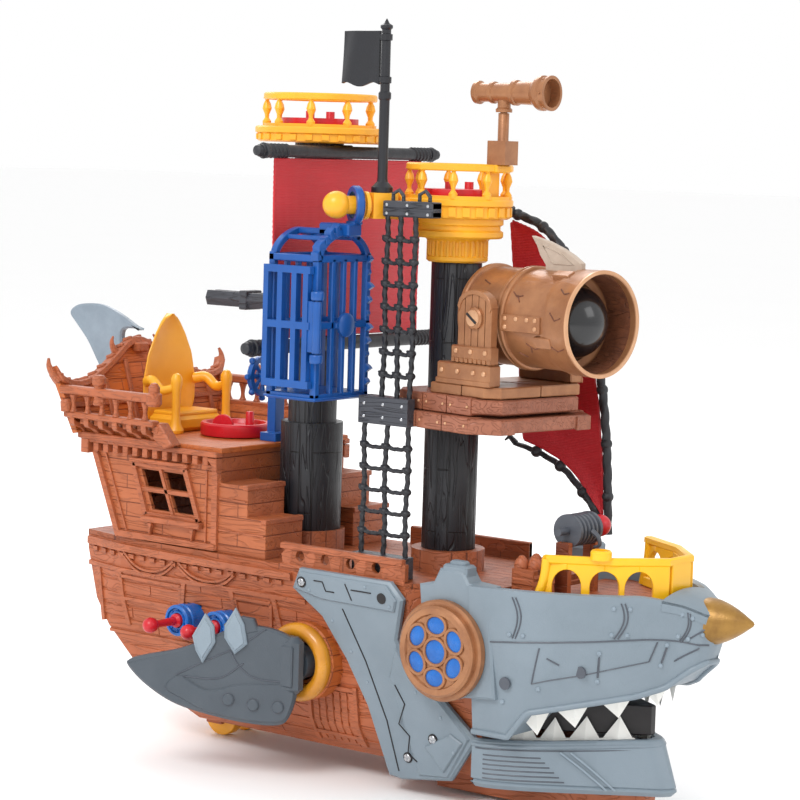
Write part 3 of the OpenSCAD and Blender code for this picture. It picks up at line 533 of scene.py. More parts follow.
def bulwark():
    """Starboard: four pointed arches in a wall with slanted ends. Port: three small crosses."""
    s = []
    for a, b in ((-20, -15), (-3, 2), (15, 20), (33, 38), (51, 66)):
        s.append(slab([(a, 117), (b, 117), (b + 1.5, 124), ((a + b) / 2 + 3, 130), (a - 1.5, 124)] if b < 60
                      else [(a, 117), (b, 117), (b - 4, 129), (a - 1.5, 124)], -59.4, -56.2, "xz", 0.4))
    s.append(block((-22, -59.9, 127), (64, -55.8, 130.5)))
    s.append(block((-22, -59.8, 116.5), (66, -56, 119)))
    port = [block((-20, 56.2, 117), (66, 59.4, 128.5))]
    cross = [block((x + a, 59.2, 121 + c), (x + b, 59.9, 121 + d), 0.2) for x in (-4, 22, 48)
             for a, b, c, d in ((-1, 1, -3, 5), (-3.5, 3.5, 0, 2))]
    return s + port, cross


piece("hull_boards", "ship", "Hull wood", both(*hull_boards()))
piece("hull_trim", "ship", "Trim wood", both(*hull_trim()))
walls, crosses = bulwark()
piece("bulwarks", "ship", "Trim wood", walls)
piece("bulwark_crosses", "ship", "Mouth black", crosses)


# ---- castle -------------------------------------------------------------------------

def cabin_trim():
    """Window frames, sills, corner posts, a top beam with dentils and a foot beam."""
    corners = [(-128.5, 134), (-139.5, 163), (-98, 163), (-87, 134)]
    s = [straight(a, b, 1.9, 1.8, cabin_y) for a, b in zip(corners, corners[1:] + corners[:1])]
    s += [straight((-133, 148.6), (-93.5, 148.6), 1.4, 1.1, cabin_y),
        straight((-107.5, 135), (-118.5, 162), 1.3, 1.1, cabin_y)]
    s += [block((-130, -59.5, 130), (-84, -54.5, 133.5)), block((-141, -58.5, 164), (-95, -54.5, 166.5))]
    s += [slab([(x, 130), (x + 4, 130), (x + 2, 122)], -58, -54.5, "xz") for x in (-126, -93)]
    s += [straight((-150.5, 119), (-173, 173), 2.4, 1.8, cabin_y),
        straight((-143, 119), (-165, 173), 0.7, 0.9, cabin_y),
          straight((-75, 119), (-75, 173), 2.6, 1.6, cabin_y)]
    s += [straight((-82, 119), (-82, 164), 0.7, 0.9, cabin_y),
        straight((-150, 120.5), (-74, 120.5), 2.2, 2.0, cabin_y)]
    s.append(block((-175, -60, 172.5), (-71, -54.5, 175.5)))
    s += [block((x, -59.5, 167.5), (x + 4, -54.6, 172.6), 0.3) for x in np.arange(-169, -76, 7.9)]
    s += [block((-178, -61, 166), (-172, -54.5, 176)), slab([(-79, 172), (-71, 172), (-71, 164)], -60,
        -54.6, "xz")]
    for z, x0 in ((158, -51), (140, -37)):
        s.append(block((x0 - 3, -56, z - 2.4), (x0 + 0.9, -23, z + 0.6)))
    s += [straight((-72, 131), (-38, 131), 0.6, 0.7, cabin_y),
        straight((-72, 149), (-52, 149), 0.6, 0.7, cabin_y)]
    return s


def gallery():
    """The flared side gallery: rails, turned balusters, S-shaped brackets and end blocks."""
    s = [block((-186, -72, 201), (-112, -65.5, 206), 0.8), block((-184, -70, 187), (-112, -63.5, 190.5),
        0.6),
         block((-180, -62, 174.5), (-106, -56.5, 178.5), 0.6)]
    turn = [(1.2, 190), (2.4, 190.6), (1.6, 192), (1.2, 194.5), (1.7, 198), (2.6, 200.6), (1.2, 201.5)]
    bracket = np.array([(-69.5, 187.5), (-68.5, 184), (-64, 182.5), (-61, 180.5), (-59, 177.5)])
    for x in np.arange(-177, -116, 11.6):
        s.append(lathe(turn, (x, -68.3, 0), "z", 10))
        path_ = curve(bracket, 12)
        s.append(slab(np.vstack([path_ + (0.0, 1.5), path_[::-1] - (0.6, 1.3)]), x - 1.9, x + 1.9, "yz",
            0.3))
        s.append(block((x + 3.4, -66.5, 183.5), (x + 8.2, -62.5, 187.4), 0.3))
    post = [(3.1, 196), (3.6, 197), (3.0, 199), (3.0, 207), (4.2, 208.5), (4.2, 212), (2.8, 213.6),
        (0.1, 214)]
    s.append(lathe(post, (-156, -68.6, 0), "z", 20))
    s.append(lathe([(3.4, 199), (4.6, 200.5), (4.6, 206), (3.2, 207), (3.4, 210), (1.8, 212.4),
        (0.1, 212.8)], (-112, -68.6, 0), "z", 20))
    s.append(slab([(-115, 189), (-110, 189), (-100, 177.5), (-106, 175), (-115, 180)], -66, -58, "xz", 0.6))
    s.append(lathe([(0.1, -6), (3.4, -5.6), (3.8, 0), (2.6, 1.8), (0.1, 2)], (-182, -69, 196), "z", 16))
    back = slab([(-56.5, 178), (-58.5, 178), (-65, 187), (-63, 188)], -180, -112, "yz", 0.3)
    return s, [back]


def stern_wall():
    """Raked wall under a curved, horned roof line with small tiles, posts and bright panels."""
    half = np.array([(73, 217), (69.5, 211.5), (63, 208), (54, 207.5), (44, 210), (33, 215), (21, 222),
        (10, 229), (0, 232)])
    top = curve(np.vstack([half, half[-2::-1] * (-1, 1)]), 61)
    wall = np.vstack([top - (0, 1.5), [(-66, 178.5), (66, 178.5)]])
    edge = [(-6, -2.8), (1.6, -2.8), (2.4, -2), (2.4, 1), (1.6, 1.8), (-6, 1.8)]
    trim = np.stack([np.stack([0 * top[:, 0] + x, top[:, 0], top[:, 1] + z], 1) for x, z in edge], 1)
    tiles = [block((-5.5, y - 1.5, z + 1), (1.2, y + 1.5, z + 3.2), 0.5) for y, z in top[5:-4:3]]
    horns = [tube(np.stack([np.full(9, -2.0), *curve([(70, 211), (73.5, 215), (75.5, 219.5), (74.5, 224)],
        9).T], 1),
                  np.linspace(3.4, 0.8, 9), 10),
             tube(np.stack([np.full(9, -2.0), *curve([(17, 224), (19.5, 228), (19.5, 232), (17.5, 235)],
                 9).T], 1),
                  np.linspace(2.6, 0.6, 9), 10)]
    posts = [block((-0.4, y - 1.6, 179), (1.6, y + 1.6, z), 0.4) for y,
        z in ((14, 220), (34, 209), (54, 206))]
    rails = [block((-0.4, 2, 193), (1.2, 64, 196), 0.4)]
    rake = lambda s: turned(s, "Y", -18, (-176, 0, 178))
    move = lambda s: rake(moved(s, (-176, 0, 0)))
    lugs = [block((-202, -5, z), (-186, 5, z + 6), 1.0) for z in (196, 222)]
    piece("stern_wall_panel", "ship", "Orange wood", [move(slab(wall, -4, 0, "yz", 0.3))])
    piece("stern_wall_trim", "ship", "Trim wood",
          [move(grid(trim, wrap_v=True, caps=True)), *(move(t) for t in tiles),
              *(move(h) for h in both(*horns)),
           *(move(p) for p in both(*posts, *rails)), *lugs], replaces=("stern_wall",))


piece("cabin_trim", "ship", "Trim wood", both(*cabin_trim()))
rails, backs = gallery()
floor_ = [block((-176, -57, 175), (-70, 57, 178), 0.5)]
piece("gallery_rails", "ship", "Trim wood", both(*rails))
piece("castle_floor", "ship", "Orange wood", floor_ + both(*backs), replaces=("castle_deck",))
stern_wall()
tail = curve([(-203, 203.5), (-203.3, 222), (-203, 234), (-195, 236), (-188, 235.4), (-197, 240),
    (-208, 245), (-222, 249), (-238, 248.6), (-246.5, 245.5),
              (-248.3, 241.5), (-243, 236), (-233, 226), (-224.5, 214), (-217, 204.2)], 90, closed=True)
piece("tail_fin_panel", "tail", "Tail armour", [slab(tail, -2.4, 2.4, "xz", 1.1),
      lathe([(1.6, 202.6), (3.9, 202.8), (3.9, 221.2), (1.6, 221.4)], (-200, 0, 0), "z", 24, loop=True)],
          replaces=("tail_fin",))


def chair():
    """Almond back, hollow in front: at each height an ellipse of the almond's width, with its
    front half pushed aft. Curved arms end in turned posts with round tops and flared feet."""
    u = np.linspace(0.0, 1, 30)[:, None]
    t = np.linspace(0, 2 * np.pi, 40, endpoint=False)[None]
    wide = np.interp(u[:, 0] ** 0.8, [0, 0.12, 0.3, 0.5, 0.7, 0.85, 0.94, 0.98, 1],
        [15, 19, 22.5, 22.5, 19, 13, 8, 4.5, 0.8])[:, None]
    y = wide * np.cos(t)
    x = -164.5 + 3.4 * np.sin(t) - (np.sin(t) > 0) * 5.2 * (1 - np.cos(t) ** 2) * np.minimum(1, wide / 12)
    z = 180 + 67 * u + 0 * t
    s = [grid(np.stack([x + 0 * z, y + 0 * z, z], -1), wrap_v=True, caps=True),
         block((-163, -20.5, 178.2), (-138, 20.5, 188), 2.5),
             block((-161, -18, 187.5), (-140, 18, 190), 1.2)]
    post = [(0.2, 178.1), (4.6, 178.2), (4.9, 180), (3.0, 184), (2.4, 190), (2.5, 200), (3.0, 205),
        (3.6, 208),
            (3.4, 211), (2.0, 213.4), (0.2, 214)]
    arm = curve([(-163, 20.5, 207), (-156, 23.5, 208), (-148, 24, 203), (-139.5, 22, 205)], 16)
    s += both(lathe(post, (-138, 22, 0), "z", 20), tube(arm, np.linspace(3.4, 2.6, 16), 12))
    return s


piece("captain_chair_form", "ship", "Yellow plastic", chair(), replaces=("captain_chair",))
pad = [lathe([(0.2, 179), (20.6, 178.6), (21, 179.4), (21, 185), (20.2, 186), (17.8, 186), (17.2, 184.4),
    (16.8, 183.6), (0.2, 183.6)],
             (-110, 0, 0), "z", 56),
       moved(turned(slab(np.vstack([arc(0, 0, 6.5, 0, 180, 16), [(-6.5, -1.5), (6.5, -1.5)]]), -1.5, 1.5,
           "xz", 0.5), "Z", 20), (-113, -8, 184.2)),
       lathe([(0.2, 183), (2.5, 183.2), (2.5, 191), (1.9, 191.9), (0.2, 192)], (-107, 9, 0), "z", 16)]
piece("power_disc", "pad", "Red plastic", pad, replaces=("power_pad",))
wheel = [lathe([(9, -1.6), (12, -1.6), (12.4, 0), (12, 1.6), (9, 1.6), (8.6, 0)], (-90, 0, 215), "x", 40,
    loop=True),
         lathe([(0.2, -3), (3.4, -2.8), (4, -1), (4, 5), (2, 6), (2, 15), (0.2, 15)], (-90, 0, 215), "x",
             20)]
spoke = lathe([(1.5, 3), (1.1, 5), (1.7, 8), (1.3, 11.5), (2.1, 13), (1.5, 14.4), (0.1, 14.9)],
    (-90, 0, 215), "z", 10)
piece("helm_wheel", "helm", "Blue plastic", wheel + [turned(spoke, "X", a,
    (-90, 0, 215)) for a in range(0, 360, 45)], replaces=("ship_wheel",))


# ---- shark --------------------------------------------------------------------------

TOP = np.array([(116, 69), (125, 68), (142, 63.5), (160, 57), (176, 48.5), (190, 38), (204, 26),
    (215, 16.5), (226, 12), (231, 5)], float)
LOW = np.array([(116, 61), (138, 60), (146, 56.5), (153, 51), (168, 38), (178, 30), (188, 21), (198, 11),
    (204, 7), (206, 2.5)], float)


def head_skin(s, t):
    """The head's side at s, from 0 at the cheek to 1 at the nose and on to 2 on the port side,
    and t, from 0 at the low outline to 1 at the top one: a straight blend of both outlines,
    bulged by a sine of t, with its top falling towards the nose."""
    k = np.minimum(s, 2 - s) * (len(TOP) - 1)
    side = np.where(s <= 1, -1.0, 1.0)
    n = np.arange(len(TOP))
    x, y = (np.interp(k, n, LOW[:, i]) * (1 - t) + np.interp(k, n, TOP[:, i]) * t for i in (0, 1))
    bulge = 2.2 * np.sin(np.pi * np.clip(t, 0, 1)) * np.clip((x - 112) / 30, 0, 1)
    fall = 9 * np.clip((x - 198) / 32, 0, 1) ** 1.5 * np.clip(t, 0, 1)
    return np.stack([x + bulge * 0.6, side * (y + bulge * 0.7), 40 + 84 * t - fall], -1)


def lip_t(s):
    """t at the upper lip: the lip's height above x, found by stepping to it from below."""
    t = np.full_like(s, 0.3)
    for _ in range(12):
        x = head_skin(s, t)[..., 0]
        t = 0.5 * t + 0.5 * (np.interp(x, [112, 138, 148, 194, 205, 228],
            [46, 46, 60, 71, 76, 99]) - 40) / 84
    return t


def head():
    """The shell between lip and rim, thickened towards the head's middle, with its cheeks, a lid
    over the snout and the roof of the mouth, both ruled from one side to the other."""
    s = 1 - np.cos(np.linspace(0, np.pi, 121))
    low = lip_t(s)
    v = np.linspace(0, 1, 26)[:, None]
    outer = head_skin(s[None] + 0 * v, low + (0.985 - low) * v)
    middle = np.array([120.0, 0, 0])
    inner = outer + (middle - outer) * (1, 1, 0) * 0.055
    cap = [outer[-1] + (0, 0, 1.6), outer[-1] * (1, 1, 1) + (middle - outer[-1]) * (1, 1, 0) * 0.035 + (0,
        0, 2.2),
           inner[-1] + (0, 0, 1.0)]
    loop = np.concatenate([outer, np.array(cap), inner[::-1]])
    shell = grid(loop, wrap_u=True)
    rim = loop.shape[0]
    i = np.arange(rim * 121).reshape(rim, 121)
    shell = (shell[0], shell[1] + [i[::-1, 0].tolist(), i[:, -1].tolist()])
    cheek = np.array([(84, 100), (81.5, 121), (91, 123), (95, 131), (110, 131), (114, 125), (127, 124),
        (133, 66), (112, 64)])
    cheeks = both(slab(cheek, -67, -54, "xz", 1.2),
        lathe([(0.2, -67), (25.8, -67), (27, -65.8), (27, -54), (0.2, -54)], (100, 0, 88), "y", 64))
    lip = head_skin(s, low + 0.004)
    cheeks += both(block((96, -66.2, 122), (112, -56, 133.5), 1.2),
        block((99, -64, 131), (109, -58, 135.5), 1))
    near = s[(head_skin(s, 0 * s + 0.98)[:, 0] > 204) & (s <= 1)]
    q = np.linspace(-1, 1, 15)[:, None]
    rim_ = head_skin(near, 0 * near + 0.985)[None] * (1, 0, 1) + head_skin(near,
        0 * near + 0.985)[None] * (0, 1, 0) * q[..., None]
    lid = np.concatenate([rim_ + np.stack([0 * q, 0 * q, 1.4 + 4 * (1 - q**2)], -1),
        rim_[::-1] - (0, 0, 4)])
    part = s <= 1
    edge_ = lip[part][None]
    k = np.linspace(-0.97, 0.97, 9)[:, None, None]
    roof = np.concatenate([edge_ * (1, 0, 1) + edge_ * (0, 1, 0) * k,
        (edge_ * (1, 0, 1) + edge_ * (0, 1, 0) * k)[::-1] + (0, 0, 2.4)])
    return [shell, *cheeks, tube(lip, 1.7, 10), grid(lid, wrap_u=True, caps=False), grid(roof, wrap_u=True)]


def skin_line(s0, t0, s1, t1, bow=0.0, n=20, out=0.15, r=0.42):
    """A thin seam along the head's side, straight in (s, t) apart from a bow."""
    k = np.linspace(0, 1, n)
    p = head_skin(s0 + (s1 - s0) * k + bow * np.sin(np.pi * k), t0 + (t1 - t0) * k)
    return tube(p * (1, 1, 1) + (p - (120, 0, 80)) * (1, 1, 0) * out / 60, r, 6)


def head_seams():
    """The long seam, three double upright ones, and the panel lines under them."""
    s = [skin_line(0.05, 0.665, 0.97, 0.78, n=60)]
    for k in (0.21, 0.56, 0.80):
        s += [skin_line(k + d, 0.965, k + d - 0.012, 0.69 + 0.09 * k, bow=0.02) for d in (0, 0.012)]
    return s + [skin_line(0.5, 0.62, 0.5, 0.49, r=0.6), skin_line(0.74, 0.70, 0.73, 0.60, r=0.6),
        skin_line(0.27, 0.43, 0.68, 0.60, n=30, r=0.3),
                skin_line(0.27, 0.43, 0.30, 0.66), skin_line(0.68, 0.60, 0.70, 0.73),
                    skin_line(0.33, 0.60, 0.37, 0.56, n=8),
                skin_line(0.78, 0.62, 0.90, 0.75), skin_line(0.84, 0.80, 0.92, 0.92)]


def on_skin(pairs, out=0.1):
    """Points on the starboard side of the head at (s, t)."""
    p = np.array(pairs, float)
    return head_skin(p[:, 0], p[:, 1]) - (0, out, 0)


piece("head_shell", "upper_jaw", "Shark armour", head(), replaces=("shark_head",), smooth=40)
piece("head_seams", "upper_jaw", "Dark gray", both(*head_seams()))
studs = [(k + d, v) for k, v in ((0.21, 0.73), (0.56, 0.765), (0.80, 0.79), (0.56, 0.93),
    (0.80, 0.94)) for d in (-0.022, 0.03)]
studs += [(0.5, 0.645), (0.5, 0.465), (0.74, 0.72), (0.73, 0.58), (0.30, 0.40), (0.12, 0.3), (0.9, 0.85)]
piece("head_rivets", "upper_jaw", "Light armour", both(*rivets(on_skin(studs), 1.25, 0.9)))
piece("head_holes", "upper_jaw", "Dark gray", both(*[
    moved(lathe([(0.2, 0.5), (r, 0.2), (r, -1)], p, "y", 16), (0, -0.35, 0)) for p, r in
    zip(on_skin([(0.15, 0.42), (0.44, 0.52)]), (3.3, 3.1))]))


def smooth_outline(points, n=60):
    """A closed outline: a curve through points on one side, and its mirror image."""
    half = curve(points, n)
    return np.vstack([half, half[::-1] * (1, -1)])


JAW_FOOT, JAW_WALL = 19, 22
JAW_CORNER, JAW_LENGTH = 117, 82
LEAN_START, LEAN_LENGTH, LEAN = 150, 54, 9


def jaw_rise(x):
    """The share of the lower jaw's rise at x: 0 at the mouth's corner, 1 at the front."""
    return np.clip((x - JAW_CORNER) / JAW_LENGTH, 0, 1)


def jaw_lean(x, z):
    """How far the lower jaw's wall leans back: not at all at its foot, and by LEAN at the
    front of its rim."""
    up = np.clip((z - JAW_FOOT) / JAW_WALL, 0, 1)
    return LEAN * up * np.clip((x - LEAN_START) / LEAN_LENGTH, 0, 1)


def lower_jaw():
    """A tray between a smooth outer outline and one inside it, with a chamfered foot. Its rim
    rises to the front, and its wall leans back there."""
    outer = curve([(112.6, 57), (122, 56.4), (136, 50.5), (150, 42), (166, 31), (180, 21), (192, 12.5),
        (200, 7), (204.2, 1.5)], 60)
    inner = curve([(116, 52), (121, 51), (134, 45.5), (148, 37.5), (163, 26.5), (177, 16.5), (187, 9),
        (194, 4), (195.5, 0.6)], 60)
    ring = np.vstack([outer, outer[::-1] * (1, -1), inner * (1, -1), inner[::-1]])
    wall = slab(ring, JAW_FOOT, 41.5, "xy", 1.2)
    x, z = wall[0][:, 0], wall[0][:, 2]
    rise = (z > 30) * jaw_rise(x) * 3.2
    wall = wall[0] + np.stack([-jaw_lean(x, z), 0 * rise, rise], 1), wall[1]
    full = np.vstack([outer, outer[::-1] * (1, -1)])
    foot = slab(full, 15.2, 21, "xy", 3.0)
    return [wall, foot], outer


tray, jaw_edge = lower_jaw()


def jaw_band(z, r, a=0, b=60, out=0.1, rise=0.0):
    """A thin band on the lower jaw's starboard wall at height z, rising to the front by rise
    and leaning back with the wall."""
    p = jaw_edge[a:b]
    height = z + rise * jaw_rise(p[:, 0])
    back = jaw_lean(p[:, 0], height)
    return tube(np.stack([p[:, 0] + out * 0.6 - back, -(p[:, 1] + out), height], 1), r, 6)


piece("lower_jaw_tray", "ship", "Shark armour", tray + both(jaw_band(38.4, 0.9, out=0.3, rise=3.2)),
    replaces=("lower_jaw",), smooth=40)
slant = [tube(np.stack([q[:, 0] + 0.2, -(q[:, 1] + 0.35), z], 1), 0.6, 8) for q, z in
         ((jaw_edge[k:k + 11], np.linspace(37.5, 18, 11)) for k in (25, 27))]
piece("lower_jaw_ridges", "ship", "Light armour", both(*slant))
piece("lower_jaw_lines", "ship", "Dark gray", both(*[jaw_band(z, 0.38, 6, 22 + k, rise=1.0) for k,
    z in enumerate((33.5, 31, 28.5, 26, 23.5, 21))],
      jaw_band(36.6, 0.35, 2, 59, rise=3.0)))
dark = smooth_outline([(124, 38), (134, 35), (148, 28), (163, 18.5), (178, 8.5), (189, 2)], 40)
piece("mouth_dark", "upper_jaw", "Mouth black", [slab(dark, 46, 62, "xy", 0.6)])
mouth = smooth_outline([(114, 50), (134, 43), (148, 35.5), (163, 24.5), (177, 14.5), (190, 3)], 40)
piece("mouth_floor", "ship", "Mouth black", [slab(mouth, 20.9, 23.5, "xy", 0.6)])


def teeth(start, turn, length, root_z, rise, height, sizes):
    """Four-sided teeth in a row: each is a ring of four base corners joined to its tip, and
    the row's ends follow the gum line from start."""
    a = math.radians(turn)
    along, out = np.array([math.cos(a), math.sin(a), 0]), np.array([-math.sin(a), math.cos(a), 0])
    s, shapes = 0.0, [moved(turned(block((-1, -1.6, -2.4), (length + 1, 1.6, 2.4), 0.8), "Y",
        -math.degrees(math.atan2(rise, length))), (0, 0, 0))]
    shapes = [moved(turned(shapes[0], "Z", turn), (start[0], start[1],
        root_z - math.copysign(1.6, height)))]
    for w in sizes:
        p = np.array([start[0], start[1], root_z]) + along * s + (0, 0, rise * s / length)
        q = p + along * w + (0, 0, rise * w / length)
        m = (p + q) / 2
        tip = m + (0, 0, height * (0.62 + 0.38 * w / max(sizes))) + along * w * 0.06
        ring = np.stack([p + along * 0.4, m + out * 2.7, q - along * 0.4, m - out * 2.4])
        base = ring - (0, 0, math.copysign(2.5, height))
        shapes.append((np.vstack([base, ring, [tip]]),
            [[0, 1, 2, 3]] + [[k, (k + 1) % 4, 4 + (k + 1) % 4, 4 + k] for k in range(4)]
                       + [[4 + k, 4 + (k + 1) % 4, 8] for k in range(4)]))
        s += w
    return shapes


piece("upper_teeth_row", "upper_jaw", "Tooth white",
    both(*teeth((140, 53.4), -39.5, 80, 57, 22, -14, (17.5, 21.5, 23.5, 17.5))),
    replaces=("upper_teeth",), smooth=20)
piece("lower_teeth_row", "ship", "Tooth white",
    both(*teeth((128, 45.2), -34.5, 66, 41, 3, 12.5, (15.5, 15.5, 17.5, 17.5))),
    replaces=("lower_teeth",), smooth=20)


def tilted(shape):
    """Lays a shape that was drawn on the plane y = 60.2 against the sloping hull side, and
    puts it on the starboard side."""
    return across(turned(shape, "X", -8.75, (0, 60.2, 119)))


def neck():
    """Armour plate with a bevelled upper band, a lower facet and small belly fin."""
    outline = np.array([(-10, 107), (-4, 119), (60, 119), (68, 110), (62, 87), (72, 68), (91, 57),
        (112, 38), (93, 12), (59, 7), (50, 8),
                        (38, 46), (25, 71), (10, 93)], float)
    s = [slab(outline, 60.2, 65, "xz", 1.3), slab([(-7.5, 107.5), (-2.5, 117.5), (58, 117.5),
        (64.5, 109.5), (62.5, 103), (12, 103.5)], 64, 66.3, "xz", 0.9),
         slab([(62, 84), (70, 69), (88, 58.5), (108, 38.5), (92, 14), (72, 12), (64, 40), (56, 66)], 64,
             66, "xz", 0.9),
         slab([(78, 30), (96, 40), (104, 36), (90, 17)], 65.5, 67.2, "xz", 0.8)]
    marks = [[(26, 100), (40, 72), (52, 40), (58, 12)], [(60, 62), (66, 52), (61, 40), (68, 34), (66, 24),
        (72, 20)],
             [(8, 114), (14, 114), (16, 109), (22, 109)], [(30, 115), (34, 106)], [(34, 112), (48, 112)]]
    lines = [tube(np.stack([p[:, 0], np.full(len(p),
        65.15 + (1.25 if k > 1 else 0.0) + (1.0 if k == 1 else 0)), p[:, 1]], 1), 0.38, 6)
             for k, m in enumerate(marks) for p in [np.array(m, float)]]
    holes = [lathe([(0.2, -0.4), (r, -0.4), (r, 0.35), (0.2, 0.35)], (x, 66.3, z), "y", 20) for x, z,
        r in ((55, 110, 3.0), (-1, 112, 3.1), (84, 35, 3.0))]
    holes += [lathe([(0.2, -0.4), (3.0, -0.4), (3.0, 0.35), (0.2, 0.35)], (65, 65.1, 21), "y", 20)]
    dots = [lathe([(0.9, -0.3), (0.9, 0.3), (0.1, 0.6)], (x, y, z), "y", 10) for x, y, z in
            ((4, 66.3, 108), (44, 66.3, 115), (60, 66.3, 106), (30, 65, 76), (40, 65, 60), (18, 65, 92),
                (74, 66, 60), (90, 66, 48), (98, 67, 30))]
    return s, lines + holes, dots


plates, marks, dots = neck()
piece("neck_armour", "ship", "Shark armour", both(*map(tilted, plates)), replaces=("neck_plates",))
piece("neck_marks", "ship", "Mouth black", both(*map(tilted, marks)))
piece("neck_studs", "ship", "Light armour", both(*map(tilted, dots)))


def screw(x, z, y=66.6, r=2.2):
    """A round head with a crossed recess, made of four raised quarters."""
    q = slab(np.vstack([arc(0, 0, r, 12, 78, 8), [(0.3, 0.3)]]), 0, 0.9, "xz", 0.2)
    return [moved(lathe([(0.1, -0.6), (r, -0.6), (r, 0.25), (0.1, 0.3)], (0, 0, 0), "y", 20),
        (x, y, z))] + [
        moved(turned(q, "Y", a), (x, y, z)) for a in range(0, 360, 90)]


piece("neck_screws", "ship", "Steel", both(*(tilted(t) for x,
    z in ((-1, 112), (84, 35)) for t in screw(x, z, 66.4)),
      *(tilted(t) for t in screw(65, 21, 65.3))), replaces=("hull_screws",))


def eye():
    """Stepped copper disc with one round and six oval windows, each framed by a ring."""
    c = np.array([100, 0, 88])
    disc = [lathe([(0.2, 66.8), (26, 66.8), (27, 67.6), (27, 71), (26, 72.2), (24.2, 72.2), (24.2, 74.6),
        (23, 75.8), (20, 75.8), (19.2, 74.6),
                   (0.2, 74.6)], c, "y", 72)]
    lens, rings = [], []
    t = np.linspace(0, 2 * np.pi, 28, endpoint=False)
    for k in range(7):
        a, d = (0, 0) if k == 0 else (math.radians(60 * k - 30), 14.0)
        rx, rz = (6.5, 6.5) if k == 0 else (4.7, 5.9)
        u = np.linspace(0.01, 1, 8)[:, None]
        x, z, y = u * rx * np.cos(t), u * rz * np.sin(t), 74.9 + 1.0 * (1 - u**2) + 0 * t
        p = np.stack([d + x, y, z], -1)
        r = np.stack([d + (rx + 0.7) * np.cos(t), 75.1 + 0 * t, (rz + 0.7) * np.sin(t)], -1)
        spin = lambda q: (turned((q.reshape(-1, 3), []), "Y", -math.degrees(a))[0] + c).reshape(q.shape)
        base = np.concatenate([spin(p), spin(p[-1:] - (0, 1.2, 0))])
        lens.append(grid(base, wrap_v=True, caps=True))
        rings.append(tube(spin(r), 0.95, 8, closed=True))
    return disc + rings, lens


disc, lens = eye()
piece("eye_disc", "upper_jaw", "Copper paint", both(*disc), replaces=("eye_covers",))
piece("eye_windows", "upper_jaw", "Bright blue", both(*lens), replaces=("eye_lenses",))
nose = [(0.2, -6), (11.6, -5.6), (12.4, -1), (11.7, 4), (10.0, 9), (7.7, 14), (5.2, 18.5), (3.0, 22),
    (1.4, 24.6), (0.1, 25.6)]
piece("nose_tip", "upper_jaw", "Nose gold", [moved(turned(lathe(nose, (0, 0, 0), "z", 40), "Y", 86),
    (222, 0, 111.5))], replaces=("nose_cap",))


# ---- sails, yards and spars ---------------------------------------------------------

def row(*shapes):
    """The shapes as one list, without mirror images."""
    return list(shapes)


def cloth(p, thick=0.8):
    """A thin closed sheet on both sides of a surface given as a grid of points."""
    n = np.cross(np.gradient(p, axis=0), np.gradient(p, axis=1))
    n = n / np.maximum(np.linalg.norm(n, axis=-1, keepdims=True), 1e-9)
    i = np.arange(p.shape[0] * p.shape[1]).reshape(p.shape[:2])
    quads = np.stack([i[:-1, :-1], i[1:, :-1], i[1:, 1:], i[:-1, 1:]], -1).reshape(-1, 4)
    edge = np.concatenate([i[:-1, 0], i[-1, :-1], i[:0:-1, -1], i[0, :0:-1]])
    after, m = np.roll(edge, -1), i.size
    rim = np.stack([after, edge, edge + m, after + m], -1)
    points = np.concatenate([(p + n * thick / 2).reshape(-1, 3), (p - n * thick / 2).reshape(-1, 3)])
    return points, quads.tolist() + (quads[:, ::-1] + m).tolist() + rim.tolist()


def hem(p):
    """Twisted thread round the surface's border."""
    border = np.concatenate([p[:-1, 0], p[-1, :-1], p[:0:-1, -1], p[0, :0:-1]])
    return tube(border, 0.75, 8, closed=True, lobes=2, pitch=3.0, depth=0.3)


def rear_sail_surface():
    """Flat between the yards, bellied forwards by the product of two sines, with a ripple that
    dies away from the lower corners."""
    u, v = np.meshgrid(np.linspace(0, 1, 90), np.linspace(0, 1, 70), indexing="ij")
    y = -65.3 + 130.6 * u
    z = 244 + 98.6 * v
    belly = 4.2 * np.sin(np.pi * u) * np.sin(np.pi * v)
    ripple = 0.9 * np.sin(11 * u + 3 * v) * np.sin(np.pi * v) * (1 - v)
    x = -28 + belly + ripple
    return np.stack([x, y, z], -1), np.stack([130.6 * u, 98.6 * v], -1)


def jib_sail_surface():
    """Ruled between the curved fore edge and the aft and foot edges, bellied to port."""
    fore = curve([(52, 312), (73, 304), (90, 287), (104, 256), (114, 220), (119.5, 180), (121, 150)], 90)
    aft = np.vstack([line((52, 312), (66, 188.5), 60),
        curve([(66, 188.5), (80, 184.5), (97, 176.5), (111, 163), (121, 150)], 31)[1:]])
    u, v = np.linspace(0.012, 0.988, 90)[:, None], np.linspace(0, 1, 36)[None]
    k = np.arange(90) / 89
    xz = [np.interp(u, k, fore[:, i]) * (1 - v) + np.interp(u, k, aft[:, i]) * v for i in (0, 1)]
    y = 47 + 3.4 * np.sin(np.pi * u) * np.sin(np.pi * v) + 0.5 * np.sin(14 * u + 4 * v) * np.sin(np.pi * v)
    return np.stack([xz[0], y, xz[1]], -1), np.stack([xz[0], xz[1]], -1)


